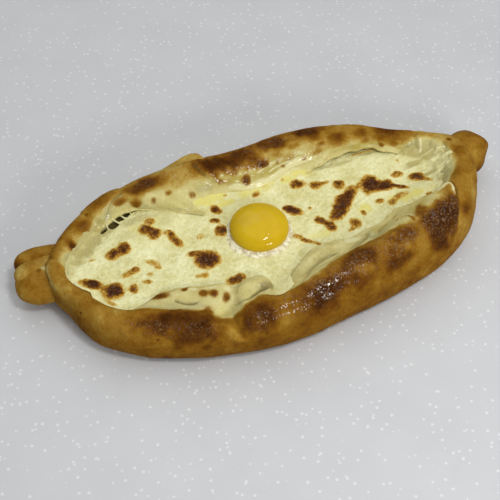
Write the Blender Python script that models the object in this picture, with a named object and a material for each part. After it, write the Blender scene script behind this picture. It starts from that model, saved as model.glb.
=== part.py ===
"""A boat-shaped cheese bread: a loaf with a rolled rim and a knob at each end, a pool of
baked cheese, and an egg yolk in its ring of white. Lengths are in millimetres until the
meshes are made; +X runs to the right knob, +Y to the far side, +Z up."""

import bpy
import bmesh
import numpy as np
from mathutils import Vector

MM = 0.001
GAP = 0.3                 # clearance between pieces that touch
AROUND = 96               # columns round the loaf and the cheese

# ---------------------------------------------------------------- loaf
# Plan places are measured from the middle of the yolk, and reaches are shares of this oval.
OVAL = (160, 68)          # half-length, half-width
# Stations round the loaf, anticlockwise from its right end: bearing on the oval in degrees,
# reach of the outline, of the rim's crest and of the pool's edge, and the crest's height.
STATIONS = [
    (0, 0.94, 0.86, 0.77, 38),
    (15, 1.00, 0.91, 0.82, 38),
    (30, 1.07, 0.96, 0.86, 36),
    (45, 1.02, 0.92, 0.82, 38),
    (60, 1.09, 0.92, 0.71, 41),
    (75, 1.08, 0.89, 0.62, 41),
    (90, 0.98, 0.80, 0.55, 40),
    (105, 1.00, 0.82, 0.55, 39),
    (120, 1.01, 0.83, 0.46, 38),
    (135, 0.95, 0.83, 0.62, 37),
    (150, 0.90, 0.81, 0.71, 34),
    (165, 0.86, 0.80, 0.74, 31),
    (180, 0.83, 0.79, 0.745, 29),
    (195, 0.82, 0.77, 0.715, 30),
    (210, 0.87, 0.79, 0.68, 32),
    (225, 0.95, 0.83, 0.60, 32),
    (240, 1.02, 0.86, 0.54, 32),
    (255, 1.07, 0.89, 0.52, 33),
    (270, 1.08, 0.83, 0.54, 37),
    (285, 1.02, 0.76, 0.46, 41),
    (300, 0.98, 0.74, 0.42, 42),
    (315, 0.97, 0.74, 0.44, 42),
    (330, 0.94, 0.78, 0.51, 41),
    (345, 0.92, 0.81, 0.63, 39),
]
BULGE_Z = 14              # height of the widest line of the rim
BASE_INSET = 9            # from the widest line in to the flat underside
SIDE_ROUNDNESS = 2.4      # superellipse exponent of the rim's outer face
NEAR_FALL, FAR_FALL = 0.45, 0.95   # share of the inner slope where the rim meets its ledge
FLOOR_Z = 11              # top of the bottom crust, under the cheese
FLOOR_INSET = 6           # slope of the pool's wall
LIP_RISE = 1.8            # pool's edge above the cheese
FOOT_ROWS, SIDE_ROWS, SLOPE_ROWS = 4, 8, 9

# Folds and dips of the rim: place in plan, direction (deg), half-length, half-width, rise
PLEAT = dict(at=(-37, -60), turn=-66, length=12, width=6, rise=-4)
NOTCH = dict(at=(-40, -50), turn=0, length=9, width=10, rise=-4.5)
NEAR_FOLD = dict(at=(-20, -41), turn=4, length=12, width=4, rise=3.5)
LEFT_FLAP = dict(at=(-66, -36), turn=-6, length=24, width=5, rise=2.0)
RIGHT_LEDGE = dict(at=(38, -33), turn=18, length=24, width=4, rise=1.8)
TIP_RIDGE = dict(at=(124, -8), turn=55, length=12, width=6, rise=2.5)
FAR_LIP = dict(at=(64, 44), turn=4, length=16, width=4, rise=2.0)
FAR_FLAP = dict(at=(-68, 42), turn=-18, length=24, width=6, rise=3.0)
FOLDS = [PLEAT, NOTCH, NEAR_FOLD, LEFT_FLAP, RIGHT_LEDGE, TIP_RIDGE, FAR_LIP, FAR_FLAP]

# Lumps of dough worked into the rim: middle, half-sizes, turn about Z and tilt (deg), and how
# deep their twisted strands are marked, as a share of the radius
RIGHT_KNOB = dict(at=(150, 27, 19.5), half=(19.5, 15.5, 12), turn=24, tilt=-3, twist=0.10)
LEFT_PADDLE = dict(at=(-135, 9, 16), half=(18.5, 16, 10.5), turn=0, tilt=4, twist=0.03)
LEFT_CURL = dict(at=(-132, 30, 17), half=(18, 10, 8.5), turn=14, tilt=0, twist=0.03)
EAR = dict(at=(-26, 60, 35), half=(10, 5, 5), turn=-14, tilt=8, twist=0.0)
LUMPS = [RIGHT_KNOB, LEFT_PADDLE, LEFT_CURL, EAR]
LUMP_ROUNDNESS = 2.3
STRANDS, STRAND_TURN = 3, 0.9     # strands in a knob, and their turn in radians a radian
LUMP_AROUND, LUMP_ROWS = 18, 8

# ---------------------------------------------------------------- filling
CHEESE_Z = 27             # level of the baked cheese
DOME = dict(at=(-68, 20), turn=20, length=22, width=13, rise=3.0)   # blister at the left
CHEESE_ROWS = 4
YOLK_RADIUS = 18.5
YOLK_RISE = 12            # top of the yolk above the cheese
YOLK_SIT = 6              # depth of the yolk's seat
YOLK_ROUND = 3.0          # height of its widest line above the cheese
YOLK_AROUND, YOLK_ROWS = 32, 5
SEAT_ROWS = 3
WHITE_DEPTH = 1.0         # recess that holds the egg white
WHITE_RISE = 0.9
WHITE_NARROW, WHITE_WIDE = 2.2, 6.0   # width of the white's ring at its far and near sides

COLOURS = {"bread": (0.30, 0.14, 0.03), "cheese": (0.74, 0.71, 0.40),
           "egg_white": (0.66, 0.60, 0.42), "egg_yolk": (0.63, 0.42, 0.02)}
ROUGHNESS = {"bread": 0.55, "cheese": 0.40, "egg_white": 0.25, "egg_yolk": 0.18}


def through_stations(theta, column):
    """Smooth closed curve through one column of the stations (cubic between neighbours)."""
    rows = np.array(STATIONS, float)
    step = 2 * np.pi / len(rows)
    value = rows[:, column]
    slope = (np.roll(value, -1) - np.roll(value, 1)) / 2
    k = np.floor(theta / step).astype(int) % len(rows)
    t = (theta / step) % 1
    after = (k + 1) % len(rows)
    return (value[k] * (1 + 2 * t) * (1 - t) ** 2 + slope[k] * t * (1 - t) ** 2
            + value[after] * t * t * (3 - 2 * t) + slope[after] * t * t * (t - 1))


def plan_ring(theta, column):
    """Points of one of the loaf's rings in plan, at bearings theta."""
    reach = through_stations(theta, column)
    return np.stack([OVAL[0] * reach * np.cos(theta), OVAL[1] * reach * np.sin(theta)], -1)


def offset_in(ring, distance):
    """Move a closed anticlockwise ring inwards, square to itself."""
    along = np.roll(ring, -1, axis=0) - np.roll(ring, 1, axis=0)
    along /= np.linalg.norm(along, axis=1, keepdims=True)
    return ring + distance * np.stack([-along[:, 1], along[:, 0]], -1)


def fold_rise(x, y, at, turn, length, width, rise):
    """Height of a rounded ridge (or a groove, where rise is negative) over the plan."""
    turn = np.radians(turn)
    u = ((x - at[0]) * np.cos(turn) + (y - at[1]) * np.sin(turn)) / length
    v = (-(x - at[0]) * np.sin(turn) + (y - at[1]) * np.cos(turn)) / width
    return rise * np.exp(-u ** 4 - v ** 2)


def ring_rows(rings):
    """Stack rings of (x, y) and their heights into rows of points."""
    return np.array([np.column_stack([ring, np.broadcast_to(z, len(ring))])
                     for ring, z in rings])


def loaf_rows():
    """Rows of points from the flat underside, up the outside, over the rim, to the pool's floor."""
    theta = np.arange(AROUND) * 2 * np.pi / AROUND
    outline, crest, edge = (plan_ring(theta, column) for column in (1, 2, 3))
    crest_z = through_stations(theta, 4)
    base = offset_in(outline, BASE_INSET)
    far = (1 + np.sin(theta)) / 2
    fall = NEAR_FALL + (FAR_FALL - NEAR_FALL) * far
    rings = []
    for k in range(FOOT_ROWS):                           # underside edge to the widest line
        a = np.pi / 2 * k / FOOT_ROWS
        share = np.sin(a)
        rings.append((base + (outline - base) * share, BULGE_Z * (1 - np.cos(a))))
    for k in range(SIDE_ROWS):                           # widest line to the crest
        a = np.pi / 2 * k / SIDE_ROWS
        out = np.cos(a) ** (2 / SIDE_ROUNDNESS)
        up = np.sin(a) ** (2 / SIDE_ROUNDNESS)
        rings.append((crest + (outline - crest) * out, BULGE_Z + (crest_z - BULGE_Z) * up))
    lip_z = CHEESE_Z + LIP_RISE
    for k in range(SLOPE_ROWS + 1):                      # crest to the pool's edge
        t = k / SLOPE_ROWS
        s = np.clip(t / fall, 0, 1)
        rings.append((crest + (edge - crest) * t, lip_z + (crest_z - lip_z) * (1 - s ** 2) ** 1.5))
    rings.append((edge, CHEESE_Z - 4))
    rings.append((offset_in(edge, FLOOR_INSET * 0.4), (CHEESE_Z + FLOOR_Z) / 2 - 2))
    rings.append((offset_in(edge, FLOOR_INSET), FLOOR_Z))
    rows = ring_rows(rings)
    top = slice(FOOT_ROWS + 2, FOOT_ROWS + SIDE_ROWS + SLOPE_ROWS + 1)   # what the folds shape
    for fold in FOLDS:
        x, y, z = rows[top, :, 0], rows[top, :, 1], rows[top, :, 2]
        high = np.clip((z - BULGE_Z) / 10, 0, 1)
        rows[top, :, 2] += high * fold_rise(x, y, **fold)
    return rows


def lump_rows(at, half, turn, tilt, twist):
    """Closed rounded lump of twisted dough, as rows from its left tip to its right tip."""
    u = np.linspace(0, np.pi, LUMP_ROWS + 2)[1:-1, None]
    v = np.arange(LUMP_AROUND)[None] * 2 * np.pi / LUMP_AROUND

    def power(value):
        return np.sign(value) * np.abs(value) ** (2 / LUMP_ROUNDNESS)

    thick = power(np.sin(u)) * (1 + twist * np.cos(STRANDS * (v - STRAND_TURN * u)))
    x = -half[0] * power(np.cos(u)) * np.ones_like(v)
    y = half[1] * thick * power(np.cos(v))
    z = half[2] * thick * power(np.sin(v))
    tilt, turn = np.radians(tilt), np.radians(turn)
    x, z = x * np.cos(tilt) - z * np.sin(tilt), x * np.sin(tilt) + z * np.cos(tilt)
    x, y = x * np.cos(turn) - y * np.sin(turn), x * np.sin(turn) + y * np.cos(turn)
    return np.stack([x + at[0], y + at[1], z + at[2]], -1)


def cheese_rows():
    """Rows of the cheese from its floor up the pool's wall and in to the yolk's seat."""
    theta = np.arange(AROUND) * 2 * np.pi / AROUND
    edge = plan_ring(theta, 3)
    circle = np.stack([np.cos(theta), np.sin(theta)], -1)
    recess = circle * (white_reach(theta) + GAP)[:, None]
    seat = circle * (YOLK_RADIUS + GAP)
    rings = [(offset_in(edge, FLOOR_INSET + 2 * GAP), FLOOR_Z + GAP),
             (offset_in(edge, FLOOR_INSET * 0.4 + GAP), (CHEESE_Z + FLOOR_Z) / 2 - 2),
             (offset_in(edge, GAP), CHEESE_Z - 4)]
    wall = offset_in(edge, GAP)
    for k in range(CHEESE_ROWS):
        t = k / CHEESE_ROWS
        ring = wall + (recess - wall) * t
        rise = fold_rise(ring[:, 0], ring[:, 1], **DOME) * min(1, 3 * t)
        rings.append((ring, CHEESE_Z + rise))
    rings += [(recess, CHEESE_Z), (recess, CHEESE_Z - WHITE_DEPTH),
              (seat, CHEESE_Z - WHITE_DEPTH)]
    for k in range(1, SEAT_ROWS):
        a = np.pi / 2 * k / SEAT_ROWS
        rings.append((seat * np.cos(a), CHEESE_Z - WHITE_DEPTH - (YOLK_SIT + GAP) * np.sin(a)))
    return ring_rows(rings)


def white_reach(theta):
    """Outer radius of the egg white's ring, widest at the near side."""
    near = (1 - np.sin(theta)) / 2
    return YOLK_RADIUS + WHITE_NARROW + (WHITE_WIDE - WHITE_NARROW) * near ** 2


def white_rows():
    """Thin ring of egg white, as a closed section carried round the yolk."""
    theta = np.arange(AROUND // 2) * 4 * np.pi / AROUND
    inner = YOLK_RADIUS + GAP
    outer = white_reach(theta)
    floor = CHEESE_Z - WHITE_DEPTH + GAP
    circle = np.stack([np.cos(theta), np.sin(theta)], -1)
    section = [(0, floor), (1, floor), (1, CHEESE_Z), (0.6, CHEESE_Z + WHITE_RISE * 0.5),
               (0.25, CHEESE_Z + WHITE_RISE), (0, CHEESE_Z + WHITE_RISE)]
    rings = [(circle * (inner + (outer - inner) * t)[:, None], z) for t, z in section]
    return ring_rows(rings)


def yolk_rows():
    """Yolk: a flat-topped dome over a shallow bowl, as rows from the bottom up."""
    theta = np.arange(YOLK_AROUND) * 2 * np.pi / YOLK_AROUND
    circle = np.stack([np.cos(theta), np.sin(theta)], -1)
    widest = CHEESE_Z + YOLK_ROUND
    rings = []
    for k in range(1, YOLK_ROWS):                        # bowl
        a = np.pi / 2 * (1 - k / YOLK_ROWS)
        rings.append((circle * (YOLK_RADIUS - GAP) * np.cos(a),
                      CHEESE_Z - WHITE_DEPTH + GAP - (YOLK_SIT - GAP) * np.sin(a)))
    for k in range(2 * YOLK_ROWS):                       # widest line to near the top
        a = np.pi / 2 * k / (2 * YOLK_ROWS)
        rings.append((circle * YOLK_RADIUS * np.cos(a) ** 0.9,
                      widest + (YOLK_RISE - YOLK_ROUND) * np.sin(a)))
    return ring_rows(rings)


def make_piece(name, rows, middle, ends="caps"):
    """Skin rows of points into a closed mesh object; its ends are capped or joined in a ring."""
    count, around = rows.shape[:2]
    k = np.arange(count * around).reshape(count, around)
    lower, upper = (k[:-1], k[1:]) if ends == "caps" else (k, np.roll(k, -1, axis=0))
    quads = np.stack([lower, np.roll(lower, -1, 1), np.roll(upper, -1, 1), upper], -1)
    faces = [tuple(q) for q in quads.reshape(-1, 4).tolist()]
    if ends == "caps":
        faces += [tuple(k[0][::-1].tolist()), tuple(k[-1].tolist())]
    mesh = bpy.data.meshes.new(name)
    mesh.from_pydata((rows.reshape(-1, 3) * MM).tolist(), [], faces)
    bm = bmesh.new()
    bm.from_mesh(mesh)
    bmesh.ops.recalc_face_normals(bm, faces=bm.faces)
    bmesh.ops.triangulate(bm, faces=[f for f in bm.faces if len(f.verts) > 4])
    bm.to_mesh(mesh)
    bm.free()
    mesh.shade_smooth()
    piece = bpy.data.objects.new(name, mesh)
    piece.parent = middle
    bpy.context.scene.collection.objects.link(piece)
    return piece


def finish(piece):
    """Give a piece its material."""
    material = bpy.data.materials.new(piece.name)
    material.use_nodes = True
    shader = material.node_tree.nodes["Principled BSDF"]
    shader.inputs["Base Color"].default_value = (*COLOURS[piece.name], 1)
    shader.inputs["Roughness"].default_value = ROUGHNESS[piece.name]
    shader.inputs["Metallic"].default_value = 0.0
    piece.data.materials.append(material)


def work_in(bread, lump_name, lump, middle):
    """Join a lump of dough to the loaf."""
    piece = make_piece(lump_name, lump_rows(**lump), middle)
    piece.hide_render = True
    piece.display_type = "WIRE"
    union = bread.modifiers.new(lump_name, "BOOLEAN")
    union.operation = "UNION"
    union.object = piece


def centre(empty):
    """Move the empty that carries the loaf so that the middle of its box is at the origin."""
    evaluated = bpy.data.objects["bread"].evaluated_get(bpy.context.evaluated_depsgraph_get())
    corners = np.array([evaluated.matrix_world @ Vector(c) for c in evaluated.bound_box])
    low, high = corners.min(axis=0), corners.max(axis=0)
    empty.location = (-(low[0] + high[0]) / 2, -(low[1] + high[1]) / 2, 0)


def main():
    for old in list(bpy.data.objects):
        bpy.data.objects.remove(old)
    middle = bpy.data.objects.new("middle", None)
    bpy.context.scene.collection.objects.link(middle)
    bread = make_piece("bread", loaf_rows(), middle)
    for k, lump in enumerate(LUMPS):
        work_in(bread, f"lump_{k}", lump, middle)
    pieces = [bread,
              make_piece("cheese", cheese_rows(), middle),
              make_piece("egg_yolk", yolk_rows(), middle),
              make_piece("egg_white", white_rows(), middle, ends="ring")]
    for piece in pieces:
        finish(piece)
    centre(middle)


main()
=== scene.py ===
import bpy
import numpy as np
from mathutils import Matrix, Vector


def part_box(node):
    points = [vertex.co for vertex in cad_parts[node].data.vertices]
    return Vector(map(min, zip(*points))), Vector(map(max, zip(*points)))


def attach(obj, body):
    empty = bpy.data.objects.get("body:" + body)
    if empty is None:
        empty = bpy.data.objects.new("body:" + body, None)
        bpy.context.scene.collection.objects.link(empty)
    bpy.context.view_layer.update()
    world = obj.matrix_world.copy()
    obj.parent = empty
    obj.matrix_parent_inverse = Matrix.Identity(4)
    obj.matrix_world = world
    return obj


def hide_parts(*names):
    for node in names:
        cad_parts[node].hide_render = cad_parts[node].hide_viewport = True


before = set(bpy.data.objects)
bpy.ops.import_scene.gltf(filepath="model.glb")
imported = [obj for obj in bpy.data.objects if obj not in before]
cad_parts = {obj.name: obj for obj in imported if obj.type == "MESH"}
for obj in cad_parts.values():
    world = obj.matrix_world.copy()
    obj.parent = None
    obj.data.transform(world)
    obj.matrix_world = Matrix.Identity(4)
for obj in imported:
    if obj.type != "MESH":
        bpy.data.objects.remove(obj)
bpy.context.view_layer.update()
yolkLow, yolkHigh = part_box("egg_yolk")
yolkPlace = (yolkLow + yolkHigh) / 2
mm = 0.001


def noise(p, size, seed=0, octaves=1):
    # Smooth noise: random heights at whole-number places, blended along each axis by
    # t*t*(3-2t), with each octave half the size and half the height. Runs from -1 to 1.
    total = np.zeros(p.shape[:-1])
    for k in range(octaves):
        q = p / size * 2 ** k + seed * 17.3 + k * 5.7
        cell = np.floor(q)
        t = q - cell
        t = t * t * (3 - 2 * t)
        for corner in range(8):
            step = np.array([corner & 1, corner >> 1 & 1, corner >> 2])
            weight = np.prod(np.where(step, t, 1 - t), axis=-1)
            hashed = np.sin((cell + step) @ np.array([12.9898, 78.233, 37.719]) + seed) * 43758.5453
            total += weight * (2 * (hashed - np.floor(hashed)) - 1) / 2 ** k
    return total


def ease(x, low, high):
    # 0 below low, 1 above high, and the smooth step t*t*(3-2t) between
    t = np.clip((x - low) / (high - low), 0, 1)
    return t * t * (3 - 2 * t)


def ovalPlace(x, y, at, turn, length, width):
    # Where plan places lie in a turned oval: 1 is a half-length along it or a half-width across
    turn, x, y = np.radians(turn), x - at[0], y - at[1]
    return ((x * np.cos(turn) + y * np.sin(turn)) / length,
            (y * np.cos(turn) - x * np.sin(turn)) / width)


def smoothPath(points, count):
    # Points spread along a curve through the given ones: a cubic between each pair, with
    # the slope at a point set by its two neighbours
    points = np.array(points, float)
    last = len(points) - 1
    slope = np.gradient(points, axis=0)
    at = np.linspace(0, last, count)
    k = np.minimum(at.astype(int), last - 1)
    t = (at - k)[:, None]
    return (points[k] * (1 + 2 * t) * (1 - t) ** 2 + slope[k] * t * (1 - t) ** 2
            + points[k + 1] * t * t * (3 - 2 * t) + slope[k + 1] * t * t * (t - 1))


def awayFrom(p, path, n):
    # Distance of every point from a line of straight pieces, how far along it, 0 to 1, and
    # its side seen against the normal n: 1 right of the line, -1 left
    nearest = np.full(p.shape[:-1], 1e9)
    along, side = np.zeros(p.shape[:-1]), np.zeros(p.shape[:-1])
    for k in range(len(path) - 1):
        a, b = path[k], path[k + 1]
        t = np.clip(((p - a) @ (b - a)) / ((b - a) @ (b - a)), 0, 1)
        d = np.linalg.norm(p - a - t[..., None] * (b - a), axis=-1)
        turn = np.sign((np.cross(p - a, b - a) * n).sum(-1))
        side = np.where(d < nearest, turn, side)
        along = np.where(d < nearest, (k + t) / (len(path) - 1), along)
        nearest = np.minimum(nearest, d)
    return nearest, along, side


def outward(grid):
    # Unit normals of a grid that is closed round its columns
    down = np.gradient(grid, axis=0)
    around = (np.roll(grid, -1, axis=1) - np.roll(grid, 1, axis=1)) / 2
    normal = np.cross(around, down)
    length = np.linalg.norm(normal, axis=-1, keepdims=True)
    return normal / np.maximum(length, 1e-9)


def makePiece(name, grid, paint, material, replaced=()):
    # Skin a grid closed round its columns, with each end row drawn together to one point.
    # paint holds one value for each grid point, by attribute name.
    rows, columns = grid.shape[:2]
    k = np.arange(rows * columns).reshape(rows, columns)
    on, first, last = np.roll(k, -1, axis=1), rows * columns, rows * columns + 1
    quads = np.stack([k[:-1], on[:-1], on[1:], k[1:]], -1).reshape(-1, 4)
    caps = np.concatenate([np.stack([on[0], k[0], np.full(columns, first)], -1),
                           np.stack([k[-1], on[-1], np.full(columns, last)], -1)])
    points = np.concatenate([grid.reshape(-1, 3), grid[[0, -1]].mean(axis=1)])
    a, b, c = points[np.concatenate([quads[:, :3], caps])].transpose(1, 0, 2)
    if (np.cross(a, b) * c).sum() < 0:                   # inside out: turn every face round
        quads, caps = quads[:, ::-1], caps[:, ::-1]
    mesh = bpy.data.meshes.new(name)
    mesh.from_pydata(points * mm + [yolkPlace.x, yolkPlace.y, 0], [], quads.tolist() + caps.tolist())
    mesh.shade_smooth()
    for label, value in paint.items():
        value = np.broadcast_to(value, (rows, columns))
        layer = mesh.attributes.new(label, "FLOAT", "POINT")
        everyPoint = np.concatenate([value.ravel(), value[[0, -1]].mean(axis=1)])
        layer.data.foreach_set("value", everyPoint.astype(np.float32))
    mesh.materials.append(material)
    piece = bpy.data.objects.new(name, mesh)
    bpy.context.scene.collection.objects.link(piece)
    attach(piece, "root")
    if replaced:
        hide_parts(*replaced)
    print(f"{name}: {2 * len(quads) + len(caps)} triangles")
    return piece


class Flow:
    # A value flowing through a material: + - * / and the others add its Math nodes
    def __init__(self, recipe, socket):
        self.recipe, self.socket = recipe, socket

    def math(self, operation, first, second=0.0, clamp=False):
        return self.recipe.add("ShaderNodeMath", {"operation": operation, "use_clamp": clamp},
                               {0: first, 1: second})

    def __add__(self, other):
        return self.math("ADD", self, other)

    def __sub__(self, other):
        return self.math("SUBTRACT", self, other)

    def __rsub__(self, other):
        return self.math("SUBTRACT", other, self)

    def __mul__(self, other):
        return self.math("MULTIPLY", self, other)

    __radd__, __rmul__ = __add__, __mul__

    def clamped(self):
        return self.math("ADD", self, 0.0, clamp=True)

    def between(self, low, high):
        # 0 below low, 1 above high, smooth between
        return self.recipe.add("ShaderNodeMapRange", {"interpolation_type": "SMOOTHSTEP"},
                               {"Value": self, "From Min": low, "From Max": high})


class Recipe:
    # One material: its nodes all come from add, which returns the named output as a Flow
    def __init__(self, name):
        self.material = bpy.data.materials.new(name)
        self.material.use_nodes = True
        self.tree = self.material.node_tree
        self.shader = self.tree.nodes["Principled BSDF"]
        self.place = self.add("ShaderNodeTexCoord", {}, {}, "Object")

    def add(self, kind, settings, inputs, output=0):
        node = self.tree.nodes.new(kind)
        for key, value in settings.items():
            if key == "stops":
                self.setStops(node.color_ramp, value)
            else:
                setattr(node, key, value)
        for key, value in inputs.items():
            self.feed(node.inputs[key], value)
        return Flow(self, node.outputs[output])

    def feed(self, socket, value):
        if isinstance(value, Flow):
            self.tree.links.new(value.socket, socket)
        else:
            socket.default_value = value

    def setStops(self, ramp, stops):
        while len(ramp.elements) < len(stops):
            ramp.elements.new(1.0)
        for element, (at, colour) in zip(ramp.elements, stops):
            element.position = at
            element.color = (*colour, 1)

    def noise(self, size, detail=2.0, rough=0.5):
        # Noise whose features are about size millimetres across
        return self.add("ShaderNodeTexNoise", {},
                        {"Vector": self.place, "Scale": 1 / (size * mm), "Detail": detail,
                         "Roughness": rough})

    def dots(self, size):
        # Distance to the nearest of scattered points, about size millimetres apart
        return self.add("ShaderNodeTexVoronoi", {}, {"Vector": self.place, "Scale": 1 / (size * mm)},
                        "Distance")

    def painted(self, label):
        return self.add("ShaderNodeAttribute", {"attribute_name": label}, {}, "Fac")

    def ramp(self, value, stops):
        return self.add("ShaderNodeValToRGB", {"stops": stops}, {"Fac": value})

    def mix(self, mask, under, over):
        under, over = ((*c, 1) if isinstance(c, tuple) else c for c in (under, over))
        return self.add("ShaderNodeMix", {"data_type": "RGBA"}, {0: mask, 6: under, 7: over}, 2)

    def bump(self, height, depth, before=None):
        # Bump of a height from 0 to 1, depth millimetres deep
        inputs = {"Height": height, "Distance": depth * mm, "Strength": 1.0}
        if before is not None:
            inputs["Normal"] = before
        return self.add("ShaderNodeBump", {}, inputs)

    def finish(self, **values):
        for key, value in values.items():
            if isinstance(value, tuple):
                value = (*value, 1)
            self.feed(self.shader.inputs[key.replace("_", " ")], value)
        return self.material


# What the crust's colours and gloss are made of: colours are linear
golden = dict(
    # bare dough to scorched, by how browned it is
    stops=[(0.0, (0.56, 0.48, 0.19)), (0.15, (0.48, 0.35, 0.09)), (0.35, (0.34, 0.19, 0.026)),
           (0.55, (0.235, 0.105, 0.008)), (0.76, (0.125, 0.044, 0.004)), (1.0, (0.050, 0.015, 0.002))],
    cream=[(0.35, (0.50, 0.43, 0.155)), (0.5, (0.60, 0.53, 0.22)), (0.65, (0.71, 0.66, 0.32))],
    # tints of the bare dough: how ragged, from where to where it shows, how much, the colour
    tints=dict(wet=(0.9, 0.1, 0.9, 0.85, (0.42, 0.33, 0.06)), ashen=(0.5, 0.1, 1.0, 0.9, (0.40, 0.37, 0.17)),
               milky=(0.4, 0.2, 0.9, 1.0, (0.74, 0.70, 0.38))),
    # blister: the warm pale colour of the painted glints on the dark patches
    # seam: dark olive painted as shade into the creases and under the lip's nose
    seam=(0.13, 0.095, 0.028), blister=(0.34, 0.23, 0.10), speck=(0.02, 0.012, 0.005), speckGap=9.0,
    mottle=0.36, rough=0.6, coatRough=0.22)


def crustMaterial():
    # Baked colours by how browned it is, mottled; bare dough where it is pale; then the tints,
    # painted shade in the creases and under the lip, painted glints on the dark patches, and the
    # specks. The coat glints in stipples.
    g = golden
    r = Recipe("bakedCrust")
    brown, pale, wet, ashen, milky, seam, shine = (
        r.painted(label) for label in ("brown", "pale", "wet", "ashen", "milky", "seam", "shine"))
    clouds, flecks, grain = r.noise(10, 3), r.noise(2.6, 4, 0.62), r.noise(1.0, 3, 0.7)
    uneven = ((clouds - 0.5) * 2.3 + (flecks - 0.5) * 1.3) * g["mottle"] + (grain - 0.5) * 0.6
    level = (brown + uneven * 0.62).clamped()
    baked = r.ramp(level, g["stops"])
    cream = r.ramp(clouds * 0.5 + flecks * 0.35 + grain * 0.15, g["cream"])
    for mask, (ragged, low, high, most, tint) in zip((wet, ashen, milky), g["tints"].values()):
        cream = r.mix((mask + (flecks - 0.5) * ragged).between(low, high) * most, cream, tint)
    bare = (pale + ((clouds - 0.5) * 0.5 + (flecks - 0.5) * 0.5) - level * 1.5).between(0.1, 0.75)
    colour = r.mix(bare, baked, cream)
    # painted shade in the creases and under the lip
    colour = r.mix(seam, colour, g["seam"])
    # painted glints: warm pale flecks where the near roll glistens on its dark patches
    blisters = r.noise(1.5, 2, 0.6).between(0.56, 0.66) * shine * brown.between(0.5, 0.8)
    colour = r.mix(blisters * 0.55, colour, g["blister"])
    specks = (1 - r.dots(g["speckGap"]).between(0.02, 0.04)) * (1 - pale) * 0.8
    colour = r.mix(specks, colour, g["speck"])
    skin = r.bump(flecks, 0.60)
    skin = r.bump(grain, 0.34, skin)
    rough = (g["rough"] + (flecks - 0.5) * 0.3 - wet * 0.2).clamped()
    glints = r.noise(1.3, 2, 0.6).between(0.54, 0.61) * shine
    oily = (wet + ashen + milky) * r.noise(1.6, 2).between(0.5, 0.62) * 0.65
    coat = (glints + oily).clamped()
    return r.finish(Base_Color=colour, Roughness=rough, Normal=skin, Coat_Weight=coat,
                    Coat_Roughness=g["coatRough"], Coat_IOR=1.8, Specular_IOR_Level=0.015)


bakedCrust = crustMaterial()

# Stations round the loaf, anticlockwise from its right end: bearing on the oval in degrees,
# reach of the outline and of the rim's crest, and the crest's height
rimStations = [
    (0, 0.94, 0.86, 38), (15, 1, 0.91, 38), (30, 1.07, 0.96, 36), (45, 1.02, 0.92, 38),
    (60, 1.09, 0.92, 41), (75, 1.08, 0.89, 41), (90, 0.98, 0.8, 40), (105, 1, 0.82, 39),
    (120, 1.01, 0.83, 38), (135, 0.95, 0.83, 37), (150, 0.9, 0.81, 34), (165, 0.86, 0.8, 31),
    (180, 0.83, 0.79, 29), (195, 0.82, 0.77, 30), (210, 0.87, 0.79, 32), (225, 0.95, 0.83, 32),
    (240, 1.02, 0.86, 32), (255, 1.07, 0.89, 33), (270, 1.08, 0.83, 37), (285, 1.02, 0.76, 41),
    (300, 0.98, 0.74, 42), (315, 0.97, 0.74, 42), (330, 0.94, 0.78, 41), (345, 0.92, 0.81, 39)]
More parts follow.
